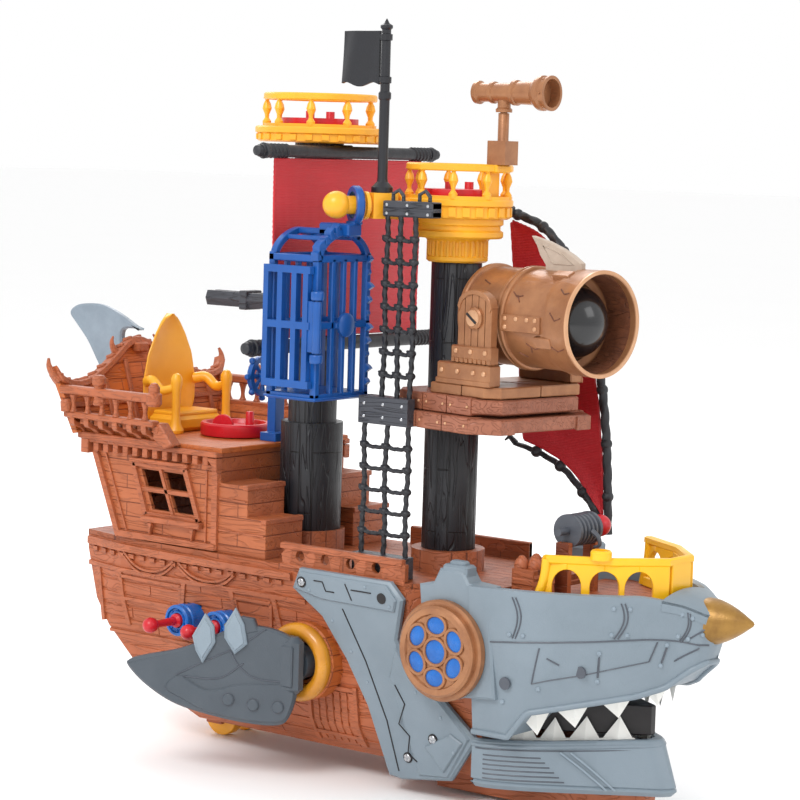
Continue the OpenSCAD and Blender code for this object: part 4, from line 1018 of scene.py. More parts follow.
def yard(z, r, half):
    """A round yard, wound with rope near its ends, with turned finials."""
    s = [tube(line((-28, -half + 4, z), (-28, half - 4, z), 60), r, 18)]
    for e in (-1, 1):
        s.append(tube(line((-28, e * (half - 26), z), (-28, e * (half - 6), z), 50), r + 0.7, 16, lobes=2,
            pitch=3.2, depth=0.28))
        s.append(lathe([(0.2, -6), (r + 0.6, -5.8), (r + 1.0, -3), (r * 0.6, -2), (r * 0.9, 0),
            (r * 0.8, 2.5), (0.2, 4)], (-28, 0, z), "y", 18))
        s[-1] = moved(s[-1] if e > 0 else turned(s[-1], "Z", 180, (-28, 0, z)), (0, e * (half - 4), 0))
    s += [block((-42, -6, z - 3), (-28, 6, z + 3), 0.8), block((-35, -7, z - 4.2), (-31, 7, z + 4.2), 0.8)]
    return s


yards = piece("rear_yards_turned", "ship", "Rope black", row(*yard(347, 3.5, 82), *yard(239, 4, 88)),
    replaces=("rear_yards",))
luff = curve([(50, 317), (74, 309), (93, 290), (108, 258), (118, 220), (123, 180), (125, 141)], 90)
foot = curve([(125, 143), (112, 158), (96, 173), (80, 181), (60, 186)], 50)
spar = [tube(np.stack([q[:, 0], np.full(len(q), 47.0), q[:, 1]], 1), r, 14, lobes=3, pitch=11, depth=0.22)
        for q, r in ((luff, 2.7), (foot, np.linspace(2.6, 1.5, 50)))]
bumps = [ball((x, 47, z), 3.3, 12) for x, z in np.vstack([luff[4:-2:11], foot[4::12]])]
spar += bumps + [tube([(60.5, 47, 186), (56, 47, 189.5), (53, 47, 187)], [1.8, 1.5, 0.5], 10),
    block((50, 24, 315), (56, 46, 320), 0.8)]
boom_ = piece("jib_spar_rope", "ship", "Rope black", row(*spar), replaces=("jib_spar",))
for name, surface, holder, flat, area in (("rear_sail", rear_sail_surface, yards, (0.132, 0.1003), None),
                                          ("jib_sail", jib_sail_surface, boom_, (0.069, 0.1625),
                                              0.0058955)):
    p, uv = surface()
    cut = piece(name + "_cloth", "ship", "Sail cloth", [cloth(p)], replaces=(name,), smooth=80,
        uv=np.tile(uv.reshape(-1, 2), (2, 1)))
    edge = piece(name + "_hem", "ship", "Sail cloth", [hem(p)], uv=None)


# ---- rope nets and flag -------------------------------------------------------------

def net(x0, x1, y, z0, z1, rungs):
    """Upright ropes with thinner rungs, which sag a little between their knots."""
    s = []
    for x in np.linspace(x0, x1, 3):
        z = np.linspace(z0, z1, 90)
        s.append(tube(np.stack([x + 0.5 * np.sin(z / 9 + x), 0 * z + y, z], 1), 1.65, 10, lobes=3,
            pitch=6, depth=0.3))
    for k in range(1, rungs + 1):
        z = z0 + k * (z1 - z0) / (rungs + 1)
        x = np.linspace(x0 - 1.5, x1 + 1.5, 40)
        s.append(tube(np.stack([x, 0 * x + y - 0.5,
            z - 0.9 * np.abs(np.sin(np.pi * (x - x0) / (x1 - x0) * 2))], 1), 1.35, 10, lobes=3, pitch=5,
            depth=0.3))
        for a in np.linspace(x0, x1, 3):
            s.append(ball((a, y - 0.2, z), 2.7, 10, 0.8))
            s.append(tube([(a - 1.6, y - 1.6, z + 1.4), (a, y - 2.4, z), (a + 1.6, y - 1.6, z - 1.4)],
                0.8, 6))
    return s


piece("rope_net_knots", "ship", "Rope black", row(*net(37, 56, -46.2, 216, 314, 7),
    *net(27, 57, -48, 130, 201, 5)), replaces=("rope_nets",))
rails = [block((34, -47.4, 313.6), (68, -38.6, 317.4), 0.7), block((34, -47.4, 318), (68, -38.6, 322.2),
    0.7)]
rails += [tube([(x, -43, 321), (x, -43, 326), (x + 4, -43, 328), (x + 7, -43, 325), (x + 7, -43, 321)],
    1.1, 8) for x in (38, 56)]
piece("ladder_head", "ship", "Dark wood", rails)
piece("ladder_nails", "ship", "Steel", row(*rivets(np.array([(x, -47.4, z) for x in (37, 51,
    65) for z in (315.4, 320)]), 0.9, 0.6),
      *rivets(np.array([(x, -51, z) for x in (28, 41, 54) for z in (205, 212)]), 0.9, 0.5)))
u, v = np.meshgrid(np.linspace(0, 1, 40), np.linspace(0, 1, 20), indexing="ij")
flag = np.stack([-4 - 26 * u, 1.6 * np.sin(6.5 * u + 1.5 * v) * u,
    58.5 + 29 * v + 1.2 * np.sin(9 * u) * (1 - v)], -1) + (26.2, -38.2, 326)
pole = [(0.2, 0), (6, 0.2), (6, 3), (4.4, 4.6), (3.1, 6), (2.8, 8), (2.8, 50), (3.5, 51), (3.5, 54),
    (2.6, 55), (2.5, 88), (3.4, 89), (3.4, 90.4),
        (1.6, 91.4), (0.2, 94)]
piece("flag_and_pole", "ship", "Black plastic", [cloth(flag, 1.6),
    lathe(pole, (26.15, -38.16, 326), "z", 24),
      *row(*[lathe([(2.4, z - 2), (3.4, z - 1.6), (3.4, z + 1.6), (2.4, z + 2)], (26.15, -38.16, 326),
          "z", 20, loop=True) for z in (61, 84)]),
      block((21, -39, 386), (26, -37.4, 389)), block((21, -39, 409), (26, -37.4, 412))],
          replaces=("flagpole",))


# ---- crow's nests -------------------------------------------------------------------

def nest(x, floor_r, rail_r, z0, z1, top, n=9):
    """A floor with a stepped, toothed edge, vase-shaped posts and a rounded rail."""
    c = (x, 0, 0)
    s = [lathe([(3.2, z0), (floor_r - 3, z0), (floor_r - 1.4, z0 + 0.8), (floor_r - 1.4, z1 - 4.2),
        (floor_r, z1 - 3.6), (floor_r, z1 - 0.8),
                (floor_r - 0.8, z1), (rail_r - 3, z1), (3.2, z1)], c, "z", 72, loop=True),
         lathe([(rail_r - 4, top - 3.4), (rail_r - 3.4, top - 4), (rail_r - 0.6, top - 4),
             (rail_r, top - 3.4), (rail_r, top - 0.8),
                (rail_r - 0.8, top), (rail_r - 3.2, top), (rail_r - 4, top - 0.8)], c, "z", 72, loop=True),
         lathe([(rail_r - 3.6, z1 - 0.5), (rail_r - 0.2, z1 - 0.5), (rail_r - 0.2, z1 + 1.6),
             (rail_r - 3.6, z1 + 1.6)], c, "z", 72, loop=True)]
    h = top - z1
    vase = [(0.2, z1), (2.3, z1 + 0.1), (2.5, z1 + h * 0.14), (1.2, z1 + h * 0.24), (1.3, z1 + h * 0.34),
        (2.7, z1 + h * 0.52), (2.1, z1 + h * 0.66),
            (1.1, z1 + h * 0.76), (2.2, z1 + h * 0.86), (2.2, top - 3.6), (0.2, top - 3.5)]
    post = lathe(vase, (x + rail_r - 2, 0, 0), "z", 14)
    tooth = block((x + floor_r - 2, -2.2, z0 + 1.2), (x + floor_r - 0.5, 2.2, z1 - 4.4), 0.3)
    s += [turned(post, "Z", a, (x, 0, 0)) for a in np.arange(20, 360, 360 / n)]
    return s + [turned(tooth, "Z", a, (x, 0, 0)) for a in range(0, 360, 15)]


piece("top_nest_turned", "ship", "Yellow plastic", row(*nest(-51, 37, 32.5, 352, 361, 380)),
    replaces=("top_nest",))
hub = [lathe([(3.2, 289), (15.8, 289), (17, 290), (17, 292), (16, 292.8), (16, 300), (18, 302),
    (24, 302.4), (25, 303.4), (25, 306), (23.4, 307), (23.4, 309),
              (25, 310), (25, 313.6), (3.2, 313.6)], (50, 0, 0), "z", 64, loop=True)]
flute = lathe([(0.2, 292), (1.0, 292.2), (1.0, 301), (0.2, 301.4)], (66, 0, 0), "z", 8)
hub += [turned(flute, "Z", a, (50, 0, 0)) for a in range(0, 360, 12)]
lug = [block((68, -5, 324), (74, 5, 341), 0.8), block((70, -7, 338.5), (80, 7, 343), 0.8)]
piece("fore_nest_turned", "ship", "Yellow plastic", row(*nest(50, 30, 29.5, 313, 324, 343, 9), *hub,
    *lug), replaces=("fore_nest",))
scope = [(3.4, 63), (3.5, 60), (5.2, 59.4), (6.2, 60.2), (6.4, 62.4), (5.2, 63.4), (5.0, 70), (6, 70.8),
    (6, 72.4), (5.2, 73), (5.4, 84.6), (6.9, 85.4), (6.9, 87.4),
         (6.1, 88), (6.6, 99), (9.0, 102), (9.5, 103), (9.5, 105), (8.6, 106), (8.6, 108.2), (9.5, 108.8),
             (9.5, 110), (7.7, 110), (7.5, 104), (0.2, 103.6)]
tube_ = [lathe([(0.2, 63.2)] + scope, (0, 0, 382), "x", 40),
    lathe([(2.05, 371.4), (4.5, 371.4), (4.6, 373), (3.6, 374), (3.6, 378), (2.05, 378.6)], (78.6, 0, 0),
    "z", 24, loop=True)]
studs = rivets(np.array([(107.2, -8.4, 382)]), 0.9, 0.8)
tube_ += [turned(t, "X", a, (0, 0, 382)) for a in range(0, 360, 60) for t in studs]
piece("spyglass_turned", "spyglass", "Copper paint", tube_, replaces=("telescope",))


# ---- cannon -------------------------------------------------------------------------

def turret(*shapes):
    """Turns shapes drawn from the fore mast's axis by the cannon's bearing."""
    return [moved(turned(s, "Z", -9), (50, 0, 0)) for s in row(*shapes)]


def round_barrel(x, angle, r=26.6):
    """A point on the barrel, at a distance from its pivot and an angle up from starboard."""
    a = math.radians(angle)
    return np.array([50.4 + x, -r * math.cos(a), 262 + r * math.sin(a)])


outside = [(0.2, -30), (5, -29.7), (10, -28.9), (15, -27.2), (19, -25.2), (23.4, -22.6), (25, -20.7),
    (27.4, -20.4), (28, -19.6), (28, -17.6), (27.4, -16.8),
           (26.2, -16.5), (26.4, -13), (26.4, 7.4), (27.5, 7.8), (28.1, 8.8), (28.1, 9.8), (27.1, 10.4),
               (27.1, 11), (28.1, 11.6), (28.1, 12.8), (27.4, 13.6),
           (26.4, 13.8), (26.4, 40), (27.0, 40.6), (27.2, 43), (28.1, 46), (28.2, 58.4), (28.4, 58.8),
               (28.2, 60), (26.6, 60), (26.1, 59.4), (25.8, 40.6), (25, 39.4),
           (21.4, 38.6), (21, 37), (21, -3.4), (0.2, -4)]
barrel = [lathe(outside, (50.4, 0, 262), "x", 96)]
tab = block((50.4 + 36, -3, 262 + 25.6), (50.4 + 48, 3, 262 + 28.8), 0.5)
barrel += [turned(tab, "X", a, (0, 0, 262)) for a in (25, 112, 205, 295)]
strap = block((50.4 + 13, -28.0, 262 - 6), (50.4 + 41, -25.2, 262 + 3), 0.4)
barrel += [turned(strap, "X", a, (0, 0, 262)) for a in (0, 180)]
piece("barrel_turned", "cannon", "Copper paint", turret(*barrel), replaces=("cannon_barrel",), smooth=30)
heads = rivets(np.array([(50.4 + x, -28.0, z) for x in (16, 24, 32, 38) for z in (263,)] + [(50.4 + x,
    -28.0, 258.5) for x in (16, 38)]), 1.3, 0.8)
heads += [turned(t, "X", 180, (0, 0, 262)) for t in heads]
piece("barrel_rivets", "cannon", "Copper light", turret(*heads,
    lathe([(26.2, 58.8), (28.35, 59), (28.35, 60.2), (26.6, 60.5), (26.2, 60)], (50.4, 0, 262), "x", 96,
    loop=True)))
cracks = [[(16, 34), (20, 28), (24, 30)], [(20, 30), (23, 22)], [(28, -26), (33, -33), (38, -30)],
    [(31, -30), (30, -38)], [(48, 12), (52, 4), (56, 7)],
          [(47, -24), (52, -30), (57, -26)], [(20, -40), (25, -46)], [(-10, 48), (-4, 42)],
              [(50, 40), (54, 34), (57, 36)]]
deep = [tube([round_barrel(x, a, 28.15 if x > 45 else 26.45) for x, a in c], 0.42, 6) for c in cracks]
rim_in = lathe([(25.4, 40.2), (25.75, 40.2), (25.9, 56), (25.6, 56)], (50.4, 0, 262), "x", 72, loop=True)
piece("barrel_marks", "cannon", "Chest brown", turret(*deep, rim_in))


def bracket():
    """Cheeks of upright planks under an arch, on two stepped blocks and a split slab."""
    s, pins, dark = [], [], []
    arch = lambda x: 268 + 9 * np.sqrt(np.clip(1 - ((x - 49.75) / 12.75) ** 2, 0, 1))
    cuts = np.linspace(37, 62.5, 6)
    for a, b in zip(cuts, cuts[1:]):
        x = np.linspace(b - 0.25, a + 0.25, 6)
        s.append(slab(np.vstack([[(a + 0.25, 246), (b - 0.25, 246)], np.stack([x, arch(x) - 0.6], 1)]),
            -34, -29, "xz", 0.35))
    x = np.linspace(62.5, 37, 24)
    hood = np.vstack([np.stack([x, arch(x)], 1), np.stack([x[::-1] * 0.9 + 4.975, arch(x[::-1]) - 2.6], 1)])
    s.append(slab(hood, -34.8, -29, "xz", 0.3))
    s += [block((24, -36, 226), (64, -27, 237.6), 0.7), block((23.4, -36.4, 226), (64.4, -35, 229), 0.4),
        block((34, -35.5, 237.8), (64, -29, 247), 0.6)]
    s += [block((x, -36.2, 238), (x + 2, -35, 240.4), 0.2) for x in np.arange(35, 63, 3.4)]
    s.append(lathe([(0.2, -36.4), (5.2, -36.2), (6, -35.4), (6, -33.8), (0.2, -33.8)], (50.4, 0, 262),
        "y", 28))
    pins += rivets(np.array([(x, -36.1, z) for x in (28, 40, 52, 60) for z in (233,)] + [(x, -35.6,
        244) for x in (38, 49, 60)]), 1.4, 0.9)
    pins.append(lathe([(0.2, -37.2), (4.2, -37), (4.6, -36.2), (0.2, -36.2)], (50.4, 0, 262), "y", 24))
    dark.append(turned(block((50.4 - 4.4, -37.5, 261.3), (50.4 + 4.4, -37.0, 262.7), 0.1), "Y", 35,
        (50.4, 0, 262)))
    foot = [[(20, -36), (43.2, -36), (43.2, -0.4), (20, -0.4)],
        [(44, -36), (60, -36), (67.7, -30), (67.7, -0.4), (44, -0.4)]]
    s += [slab(f, 220, 226, "xy", 0.6) for f in foot]
    return [t + [across(q) for q in t] for t in (row(*s), row(*pins), row(*dark))]


cheeks, pins, slots = bracket()
piece("bracket_planks", "ship", "Copper paint", turret(*cheeks), replaces=("cannon_bracket",))
piece("bracket_rivets", "ship", "Copper light", turret(*pins))
piece("bracket_slots", "ship", "Mouth black", turret(*slots))


def platform():
    """Two tiers, each cut into three boards by narrow gaps, with riveted corner plates."""
    s, dots = [], []
    for half, z0, z1 in (([(-20, 28), (-4, 42), (58, 44), (72, 34)], 201, 210),
        ([(-16, 24), (-2, 38), (55, 39), (68, 29)], 210.2, 220)):
        q = np.array(half, float)
        full = np.vstack([q, q[::-1] * (1, -1)])
        s.append(slab(full, z0 + 1, z1 - 0.6, "xy", 0.8))
        a, b = q[1, 0], q[2, 0]
        for c, d in zip(np.linspace(a, b, 4)[:-1], np.linspace(a, b, 4)[1:]):
            y = np.interp([c, d], q[1:3, 0], q[1:3, 1])
            s.append(slab([(c + 0.4, -y[0] - 0.8), (d - 0.4, -y[1] - 0.8), (d - 0.4, y[1] + 0.8),
                (c + 0.4, y[0] + 0.8)], z0 + 0.2, z1, "xy", 0.5))
            dots += rivets(np.array([(c + 3, -y[0] - 0.9, (z0 + z1) / 2),
                (d - 3, -y[1] - 0.9, (z0 + z1) / 2)]), 0.8, 0.5)
    corner = [(50, -43.7), (58.4, -44.8), (72.8, -34.4), (72.8, -24), (71, -24), (71, -33.4),
        (57.8, -42.8), (50, -42.2)]
    s += [slab(corner, 201.4, 209, "xy", 0.3), slab([(x, -y) for x, y in corner[::-1]], 201.4, 209, "xy",
        0.3)]
    return row(*s), row(*dots)


boards, dots = platform()
piece("platform_boards", "ship", "Platform wood", turret(*boards), replaces=("cannon_platform",))
piece("platform_rivets", "ship", "Copper light", turret(*dots))
outline = [(19, 286), (45, 286), (45, 293), (38, 297), (31, 300), (20, 303.6), (8, 306), (12, 301),
    (14.6, 296), (19, 291)]
inner = np.array([(26, 292), (40, 292), (30, 297.5), (17, 301.5), (20, 297), (23, 293)])
piece("trigger_plate", "trigger", "Trigger tan",
    turret(moved(slab(outline, -2, 2, "xz", 0.5), (50.4, 0, 0)),
      *[moved(tube(np.stack([inner[:, 0], np.full(6, y), inner[:, 1]], 1), 0.45, 6, closed=True),
          (50.4, 0, 0)) for y in (-2.05, 2.05)]),
      replaces=("firing_fin",))


# ---- fins, rings and side cannons ---------------------------------------------------

def fin():
    """Smooth blade with its raised lower plate, framed root and shaft, then its two leaves."""
    lay = lambda s: moved(turned(s, "Z", 209), (-3, -76, 0))
    edge = curve([(88, 61), (86.5, 64.5), (77, 67.5), (60, 71.5), (44, 78), (26, 86), (8, 86), (-6, 80),
        (-9, 70), (-8, 52), (-4, 38), (2, 32.5), (20, 32.5),
                  (42, 36), (62, 41.5), (78, 51)], 90, closed=True)
    plate = curve([(58, 57), (42, 50), (26, 54), (10, 55), (-6, 54), (-4, 39.5), (2, 34.5), (20, 34.5),
        (42, 38), (56, 44), (66, 50)], 60, closed=True)
    body = [lay(slab(edge, -3, 3, "xz", 1.4)), lay(slab(plate, 2, 4.1, "xz", 0.8)),
        lay(slab([(30, 80), (34, 87), (24, 92), (17, 91), (14, 84)], -2, 3.4, "xz", 0.8))]
    body += [block((-15, -78.4, 50), (7, -68.3, 82), 3.0),
        lathe([(0.2, -68), (10, -67.8), (10, -46.2), (0.2, -46)], (-3, 0, 66), "y", 40),
             block((-13, -79.4, 54), (5, -77, 78), 1.2)]
    marks = [[(10, 86), (24, 76), (44, 66), (60, 57.5)], [(30, 73), (24, 64), (14, 58), (-6, 57)],
        [(22, 66), (36, 57), (56, 57)]]
    lines = [lay(tube(np.stack([q[:, 0], np.full(len(q), 3.1), q[:, 1]], 1), 0.42,
        6)) for m in marks for q in [curve(m, 20)]]
    caps = [lay(lathe([(3.4, 3.6), (3.4, 4.8), (2.6, 5.5), (0.2, 5.7)], (x, 0, z), "y", 20)) for x,
        z in ((30, 45.6), (16, 43.4), (2, 43))]
    rings = [lay(lathe([(3.5, 3.8), (4.0, 3.8), (4.0, 4.25), (3.5, 4.25)], (x, 0, z), "y", 24,
        loop=True)) for x, z in ((30, 45.6), (16, 43.4), (2, 43))]
    leaf = lambda q: row(lay(slab(q, 1.5, 5.2, "xz", 0.9)),
        lay(slab(inset(np.array(q, float), 1.4), 4.8, 5.9, "xz", 0.5)))
    leaves = leaf([(44, 93), (39, 86), (38, 77), (45, 65), (49, 72), (51, 80)]) + leaf([(27, 97),
        (22, 88), (20, 77), (27, 71), (33, 80), (33, 87)])
    return row(*body, *caps), row(*lines, *rings), leaves


for side, flip in (("starboard", lambda s: s), ("port", across)):
    blade, lines, leaves = fin()
    piece(side + "_fin_blade", side + "_flipper", "Fin armour", [flip(s) for s in blade],
        replaces=(side + "_fin",))
    piece(side + "_fin_seams", side + "_flipper", "Dark gray", [flip(s) for s in lines])
    piece(side + "_fin_leaves", side + "_flipper", "Light armour", [flip(s) for s in leaves])
a = np.linspace(0, 2 * np.pi, 20, endpoint=False)
torus = [(17.6 + 4.4 * math.cos(t), -63.6 + 4.4 * math.sin(t)) for t in a]
rings = [lathe(torus, (-3, 0, 66), "y", 72, loop=True)]
bases = [lathe([(10.2, -47), (22, -47), (22, -60), (20.6, -61.6), (12, -61.6), (10.2, -60)], (-3, 0, 66),
    "y", 72, loop=True)]
piece("fin_ring_bands", "ship", "Amber plastic", rings + [across(s) for s in rings],
    replaces=("fin_rings",))
piece("fin_ring_bases", "ship", "Orange wood", bases + [across(s) for s in bases])
guns = []
for x in (-90, -61):
    guns.append(lathe([(4.3, -50), (8.4, -46), (8.4, -62), (9, -62.6), (9, -65), (8.3, -65.6), (8.3, -67),
        (9, -67.4), (9, -69.4), (8.4, -70), (7.2, -70),
                       (6.8, -68.6), (5.6, -68.2), (5.2, -69), (4.4, -69)], (x, 0, 78), "y", 40, loop=True))
    for k in range(8):
        q = math.radians(45 * k)
        guns.append(ball((x + 6.2 * math.cos(q), -68.5, 78 + 6.2 * math.sin(q)), 0.8, 8))
piece("side_guns", "ship", "Bright blue", row(*guns, *[across(s) for s in row(*guns)]),
    replaces=("side_cannons",))
for name, x in (("aft", -90), ("fore", -61)):
    shaft = [(0.2, -95.5), (2.2, -95), (3.9, -93.4), (4.5, -91), (3.9, -88.6), (2.4, -87), (2.0, -84),
        (2.3, -76), (2.6, -72), (4, -70.5), (4, -55.3), (0.2, -55)]
    piece(name + "_dart_turned", "dart_" + name, "Red plastic", [lathe(shaft, (x, 0, 78), "y", 28)],
        replaces=(name + "_dart",))


# ---- bow rail, cage and launcher ----------------------------------------------------

def bow():
    """Foot and top rails round the bow, with forked pillars between them."""
    outer, inner = (np.array(q, float) for q in ([(152, 51), (182, 33.5), (203, 11.5)],
        [(148, 48.5), (179.5, 30.5), (200, 9)]))
    ring = np.vstack([outer, outer[::-1] * (1, -1), inner * (1, -1), inner[::-1]])
    s = [slab(ring, 115, 120.5, "xy", 0.6), slab(ring, 138.5, 143, "xy", 0.9)]
    middle = (outer + inner) / 2
    d = np.concatenate([[0], np.cumsum(np.linalg.norm(np.diff(middle, axis=0), axis=1))])
    at = lambda k: np.array([np.interp(k, d, middle[:, 0]), -np.interp(k, d, middle[:, 1])])
    centres, r = (12.0, 31.5, 49.5), 7.6
    for k in range(4):
        a = -1.0 if k == 0 else centres[k - 1]
        b = d[-1] if k == 3 else centres[k]
        rise = np.linspace(0, np.pi / 2, 8)
        low = [(a - 3, 119.8)] if k == 0 else [(a + r, 119.8)] + [(a + r * math.cos(t),
            127 + 9 * math.sin(t)) for t in rise]
        high = [(b, 139)] if k == 3 else [(b - r * math.cos(t), 127 + 9 * math.sin(t)) for t in rise[::-1]]
        foot = [(b, 119.8)] if k == 3 else [(b - r, 119.8)]
        top = [(a, 139), (b, 139)]
        left = [low[0], (a, 139)] if k == 0 else low + [top[0]]
        right = high + foot if k == 3 else [top[1]] + high + foot
        outline = left + right
        flat = slab(np.array(outline)[::-1], -1.7, 1.7, "xz", 0.3)
        p = np.array([at(x) for x in flat[0][:, 0]])
        q = np.array([at(x + 0.3) - at(x - 0.3) for x in flat[0][:, 0]])
        q = q / np.maximum(np.linalg.norm(q, axis=1, keepdims=True), 1e-6)
        s.append((np.stack([p[:, 0] - q[:, 1] * flat[0][:, 1], p[:, 1] + q[:, 0] * flat[0][:, 1],
            flat[0][:, 2]], 1), flat[1]))
    end = [(*(middle[0] * (1, -1) + (-4, -2.2)), 116), (*(middle[0] * (1, -1)), 130),
        (*(middle[0] * (1, -1) + (1, 0.5)), 141)]
    s.append(tube(curve(end, 12), 2.4, 12))
    s = row(*s)
    s += [across(t) for t in s[2:]]
    s.append(block((199.5, -9, 119), (203, 9, 140), 0.5))
    return s + [lathe([(3.4, 142), (5.6, 142), (5.6, 146), (4.8, 147), (3.4, 147)], (176, -36, 0), "z",
        24, loop=True)]


piece("bow_rail_arches", "upper_jaw", "Lemon plastic", bow(), replaces=("bow_rail",))
X0, X1, Y0, Y1 = -18, 17, -80, -34
bars = [block((X0, Y0, 213), (X1, Y1, 217), 0.5), block((X0 - 1, Y0 - 1, 213.6), (X1 + 1, Y1 + 1, 215),
    0.4)]
for z in (252, 288):
    bars += [block((X0, y, z), (X1, y + 4, z + 4), 0.5) for y in (Y0, Y1 - 4)] + [block((x, Y0, z),
        (x + 4, Y1, z + 4), 0.5) for x in (X0, X1 - 4)]
bars += [block((x, y, 213), (x + 4, y + 4, 293), 0.6) for x in (X0, X1 - 4) for y in (Y0, Y1 - 4)]
bars += [block((x, y, 216), (x + 3, y + 3, 290), 0.5) for x in (X0, X1 - 3) for y in (-67.5, -58, -48.5)]
bars += [block((x, Y1 - 3, 216), (x + 3, Y1, 290), 0.5) for x in (-8, 4)]
rise = curve([(-80, 289), (-77, 296), (-69, 302.5), (-57, 306), (-45, 302.5), (-37, 296), (-34, 289)], 30)
low = (rise - (-57, 289)) * (0.83, 0.78) + (-57, 289)
bars += [slab(np.vstack([rise, low[::-1]]), x, x + 4, "yz", 0.4) for x in (X0, X1 - 4)]
bars += [block((X0, -60, 302.4), (X1, -54, 305.8), 0.6), block((0, -60, 302), (21, -48, 309), 0.8),
    block((X0, -69.5, 299.5), (X1, -66.5, 302), 0.4),
         block((X0, -47.5, 299.5), (X1, -44.5, 302), 0.4)]
for k, z in enumerate(np.arange(219, 292, 7.5)):
    w = 2.2 + 1.5 * math.sin(2.1 * k)
    bars.append(slab([(X1 - 1, z), (X1 + w, z + 3), (X1 + w * 0.6, z + 4.4), (X1 - 1, z + 6)], -37.5,
        -34.5, "xz", 0.3))
for k, q in enumerate(rise[2:13:2]):
    w = 2.0 + 1.3 * math.sin(1.7 * k)
    bars.append(slab([(q[0] - 1.6, q[1] - 3), (q[0] - 2.2, q[1] + 0.6 + w * 0.4),
        (q[0] + 0.4, q[1] + 1.2 + w), (q[0] + 2, q[1] - 2.6)], X1 - 4.4, X1 + 0.5, "yz", 0.3))
ring = lathe([(7.4, 58), (10, 57.8), (10.6, 58.6), (10.6, 61.4), (10, 62.2), (7.4, 62)], (0, 0, 319), "x",
    44, loop=True)
bars += [moved(turned(ring, "Z", -122), (50, 0, 0)), block((15, -55, 308.4), (21, -47.6, 310.4), 0.3)]
for z in (234, 268):
    bars += [lathe([(1.3, z), (3.3, z + 0.3), (3.6, z + 1), (3.6, z + 4), (3.3, z + 4.7), (1.3, z + 5)],
        (19, -82, 0), "z", 20, loop=True),
             block((15.2, -81.6, z), (19, -76.5, z + 5), 0.4)]
bars.append(lathe([(0.2, 234), (1.2, 234.2), (1.2, 272.8), (0.2, 273)], (19, -82, 0), "z", 12))
lock = [lathe([(0.2, 16.6), (6, 16.8), (6.6, 17.6), (6.6, 19.4), (5, 20.4), (0.2, 20.6)], (0, -57, 254),
    "x", 28), block((16.6, -66, 252.4), (19.4, -48, 255.6), 0.5)]
piece("cage_bars", "cage", "Blue plastic", row(*bars, *lock), replaces=("cage_frame",))
hexes = []
for y in (-3.4, 3.4):
    hexa = [(y + 3.3 * math.cos(t), 259 + 5 * math.sin(t)) for t in np.arange(6) * math.pi / 3]
    hexes.append(slab(hexa, -131, -68, "yz", 0.5))
hexes += [block((-104, -7, 253.4), (-98, 7, 264.6), 0.5), block((-71, -6, 254), (-67, 6, 264), 0.5)]
piece("launcher_prisms", "ship", "Dark wood", row(*hexes), replaces=("twin_launcher",))


# ---- winch, chest and boom ----------------------------------------------------------

drum = [(0.2, -10.6), (9, -10.4), (9, -8.2), (7.6, -7.8)]
for h in (-5.2, -1.6, 2.0, 5.6):
    drum += [(7.6, h - 1.4), (8.8, h - 1.0), (8.8, h + 0.6), (7.6, h + 1.0)]
drum += [(7.6, 8), (9, 8.4), (9, 10.4), (2, 10.6), (2, 19), (0.2, 19)]
hook = tube(curve([(146, 0, 150), (150, 0, 147), (151, 0, 143), (147.5, 0, 141.5)], 14),
    np.linspace(1.6, 0.7, 14), 8)
piece("winch_ribbed", "winch", "Dark gray", [lathe(drum, (137, 0, 150), "y", 40),
    lathe([(0.2, -19), (2, -19), (2, -10.4), (0.2, -10.2)], (137, 0, 150), "y", 20), hook],
      replaces=("winch_drum",))
piece("winch_knob", "winch", "Red plastic", [ball((137, 21, 150), 6, 20),
    lathe([(0.2, 14), (3.6, 14), (3.2, 17), (0.2, 17)], (137, 0, 150), "y", 20)])
planks = [slab([(124 + 0.1, z), (138.4, z), (138.4 - 0.3 * k, z + 3.9), (123.6 + 0.4 * k, z + 3.9)],
    -42.6 + 0.5 * (k % 2), -21.6 - 0.5 * (k % 2), "xz", 0.8)
          for k, z in enumerate(np.arange(115.2, 131, 4.1))]
planks += [lathe([(0.2, 131), (3.6, 131.2), (4.2, 133), (3.4, 136), (1.4, 138.4), (0.2, 138.8)],
    (x, y, 0), "z", 12) for x, y in ((127.5, -38), (134, -35), (129, -27), (135, -26))]
piece("chest_planks", "upper_jaw", "Trim wood", planks)
along = lambda s: [moved(turned(q, "Z", -122), (50, 0, 0)) for q in s]
bands = [lathe([(4.6, x - 1.2), (7.6, x - 1), (7.6, x + 1), (4.6, x + 1.2)], (0, 0, 319), "x", 28,
    loop=True) for x in (35, 54.5)]
piece("boom_bands", "ship", "Yellow plastic", along(bands))


# ---- floor, light and camera --------------------------------------------------------

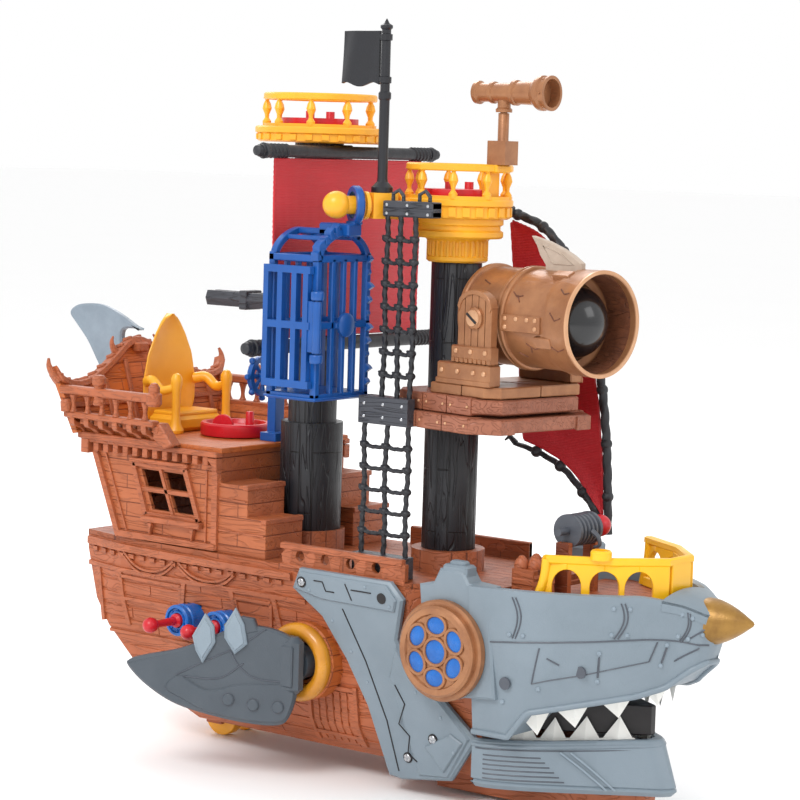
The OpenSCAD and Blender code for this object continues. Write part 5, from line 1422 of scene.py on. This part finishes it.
def studio():
    """A pale floor, a white room light, and three soft lamps."""
    p = np.stack(np.meshgrid([-20.0, 20.0], [-20.0, 20.0], [-0.0002], indexing="ij"), -1).reshape(2, 2, 3)
    points, faces = grid(p)
    mesh = bpy.data.meshes.new("Floor")
    mesh.from_pydata(points.tolist(), [], faces)
    floor = bpy.data.objects.new("Floor", mesh)
    bpy.context.scene.collection.objects.link(floor)
    m = bpy.data.materials.new("Floor")
    m.use_nodes = True
    n = node(m.node_tree, "TexNoise", {"Vector": node(m.node_tree, "TexCoord").outputs["Object"],
        "Scale": 3.0})
    m.node_tree.links.new(mix(m.node_tree, n.outputs["Fac"], (0.97, 0.97, 0.97, 1),
        (0.985, 0.985, 0.985, 1)),
                          m.node_tree.nodes["Principled BSDF"].inputs["Base Color"])
    m.node_tree.nodes["Principled BSDF"].inputs["Roughness"].default_value = 0.8
    mesh.materials.append(m)
    world = bpy.data.worlds.new("Room")
    bpy.context.scene.world = world
    world.use_nodes = True
    world.node_tree.nodes["Background"].inputs["Color"].default_value = (1, 1, 1, 1)
    world.node_tree.nodes["Background"].inputs["Strength"].default_value = 1.0
    for name, place, aim, power, size in (("Key", (0.2, -1.6, 1.6), (0.0, 0.0, 0.2), 22, 0.7),
                                          ("Side", (1.7, 0.3, 1.1), (0.0, 0.0, 0.2), 4, 0.8),
                                          ("Back", (-1.3, 1.0, 1.5), (0.0, 0.0, 0.2), 16, 1.0)):
        lamp = bpy.data.lights.new(name, "AREA")
        lamp.energy, lamp.size = power, size
        o = bpy.data.objects.new(name, lamp)
        o.location = place
        back = np.array(place) - aim
        o.rotation_mode = "QUATERNION"
        o.rotation_quaternion = Vector(-back).to_track_quat("-Z", "Y")
        bpy.context.scene.collection.objects.link(o)


def camera():
    """The camera's right, up and back vectors from its azimuth, pitch and roll."""
    azimuth, pitch, roll = (math.radians(a) for a in (38.0, 5.56, 1.7))
    ahead = np.array([-math.sin(azimuth) * math.cos(pitch), math.cos(azimuth) * math.cos(pitch),
        -math.sin(pitch)])
    right = np.cross(ahead, (0, 0, 1))
    right = right / np.linalg.norm(right)
    up = np.cross(right, ahead)
    right, up = right * math.cos(roll) + up * math.sin(roll), up * math.cos(roll) - right * math.sin(roll)
    data = bpy.data.cameras.new("Camera")
    data.lens, data.sensor_width, data.clip_start = 117.0, 36.0, 0.05
    o = bpy.data.objects.new("Camera", data)
    place = np.eye(4)
    place[:3, 0], place[:3, 1], place[:3, 2], place[:3, 3] = right, up, -ahead, (0.9107, -1.149, 0.3512)
    o.matrix_world = Matrix(place.tolist())
    bpy.context.scene.collection.objects.link(o)
    bpy.context.scene.camera = o


bpy.context.scene.view_settings.view_transform = "Standard"
studio()
camera()
bpy.context.view_layer.update()
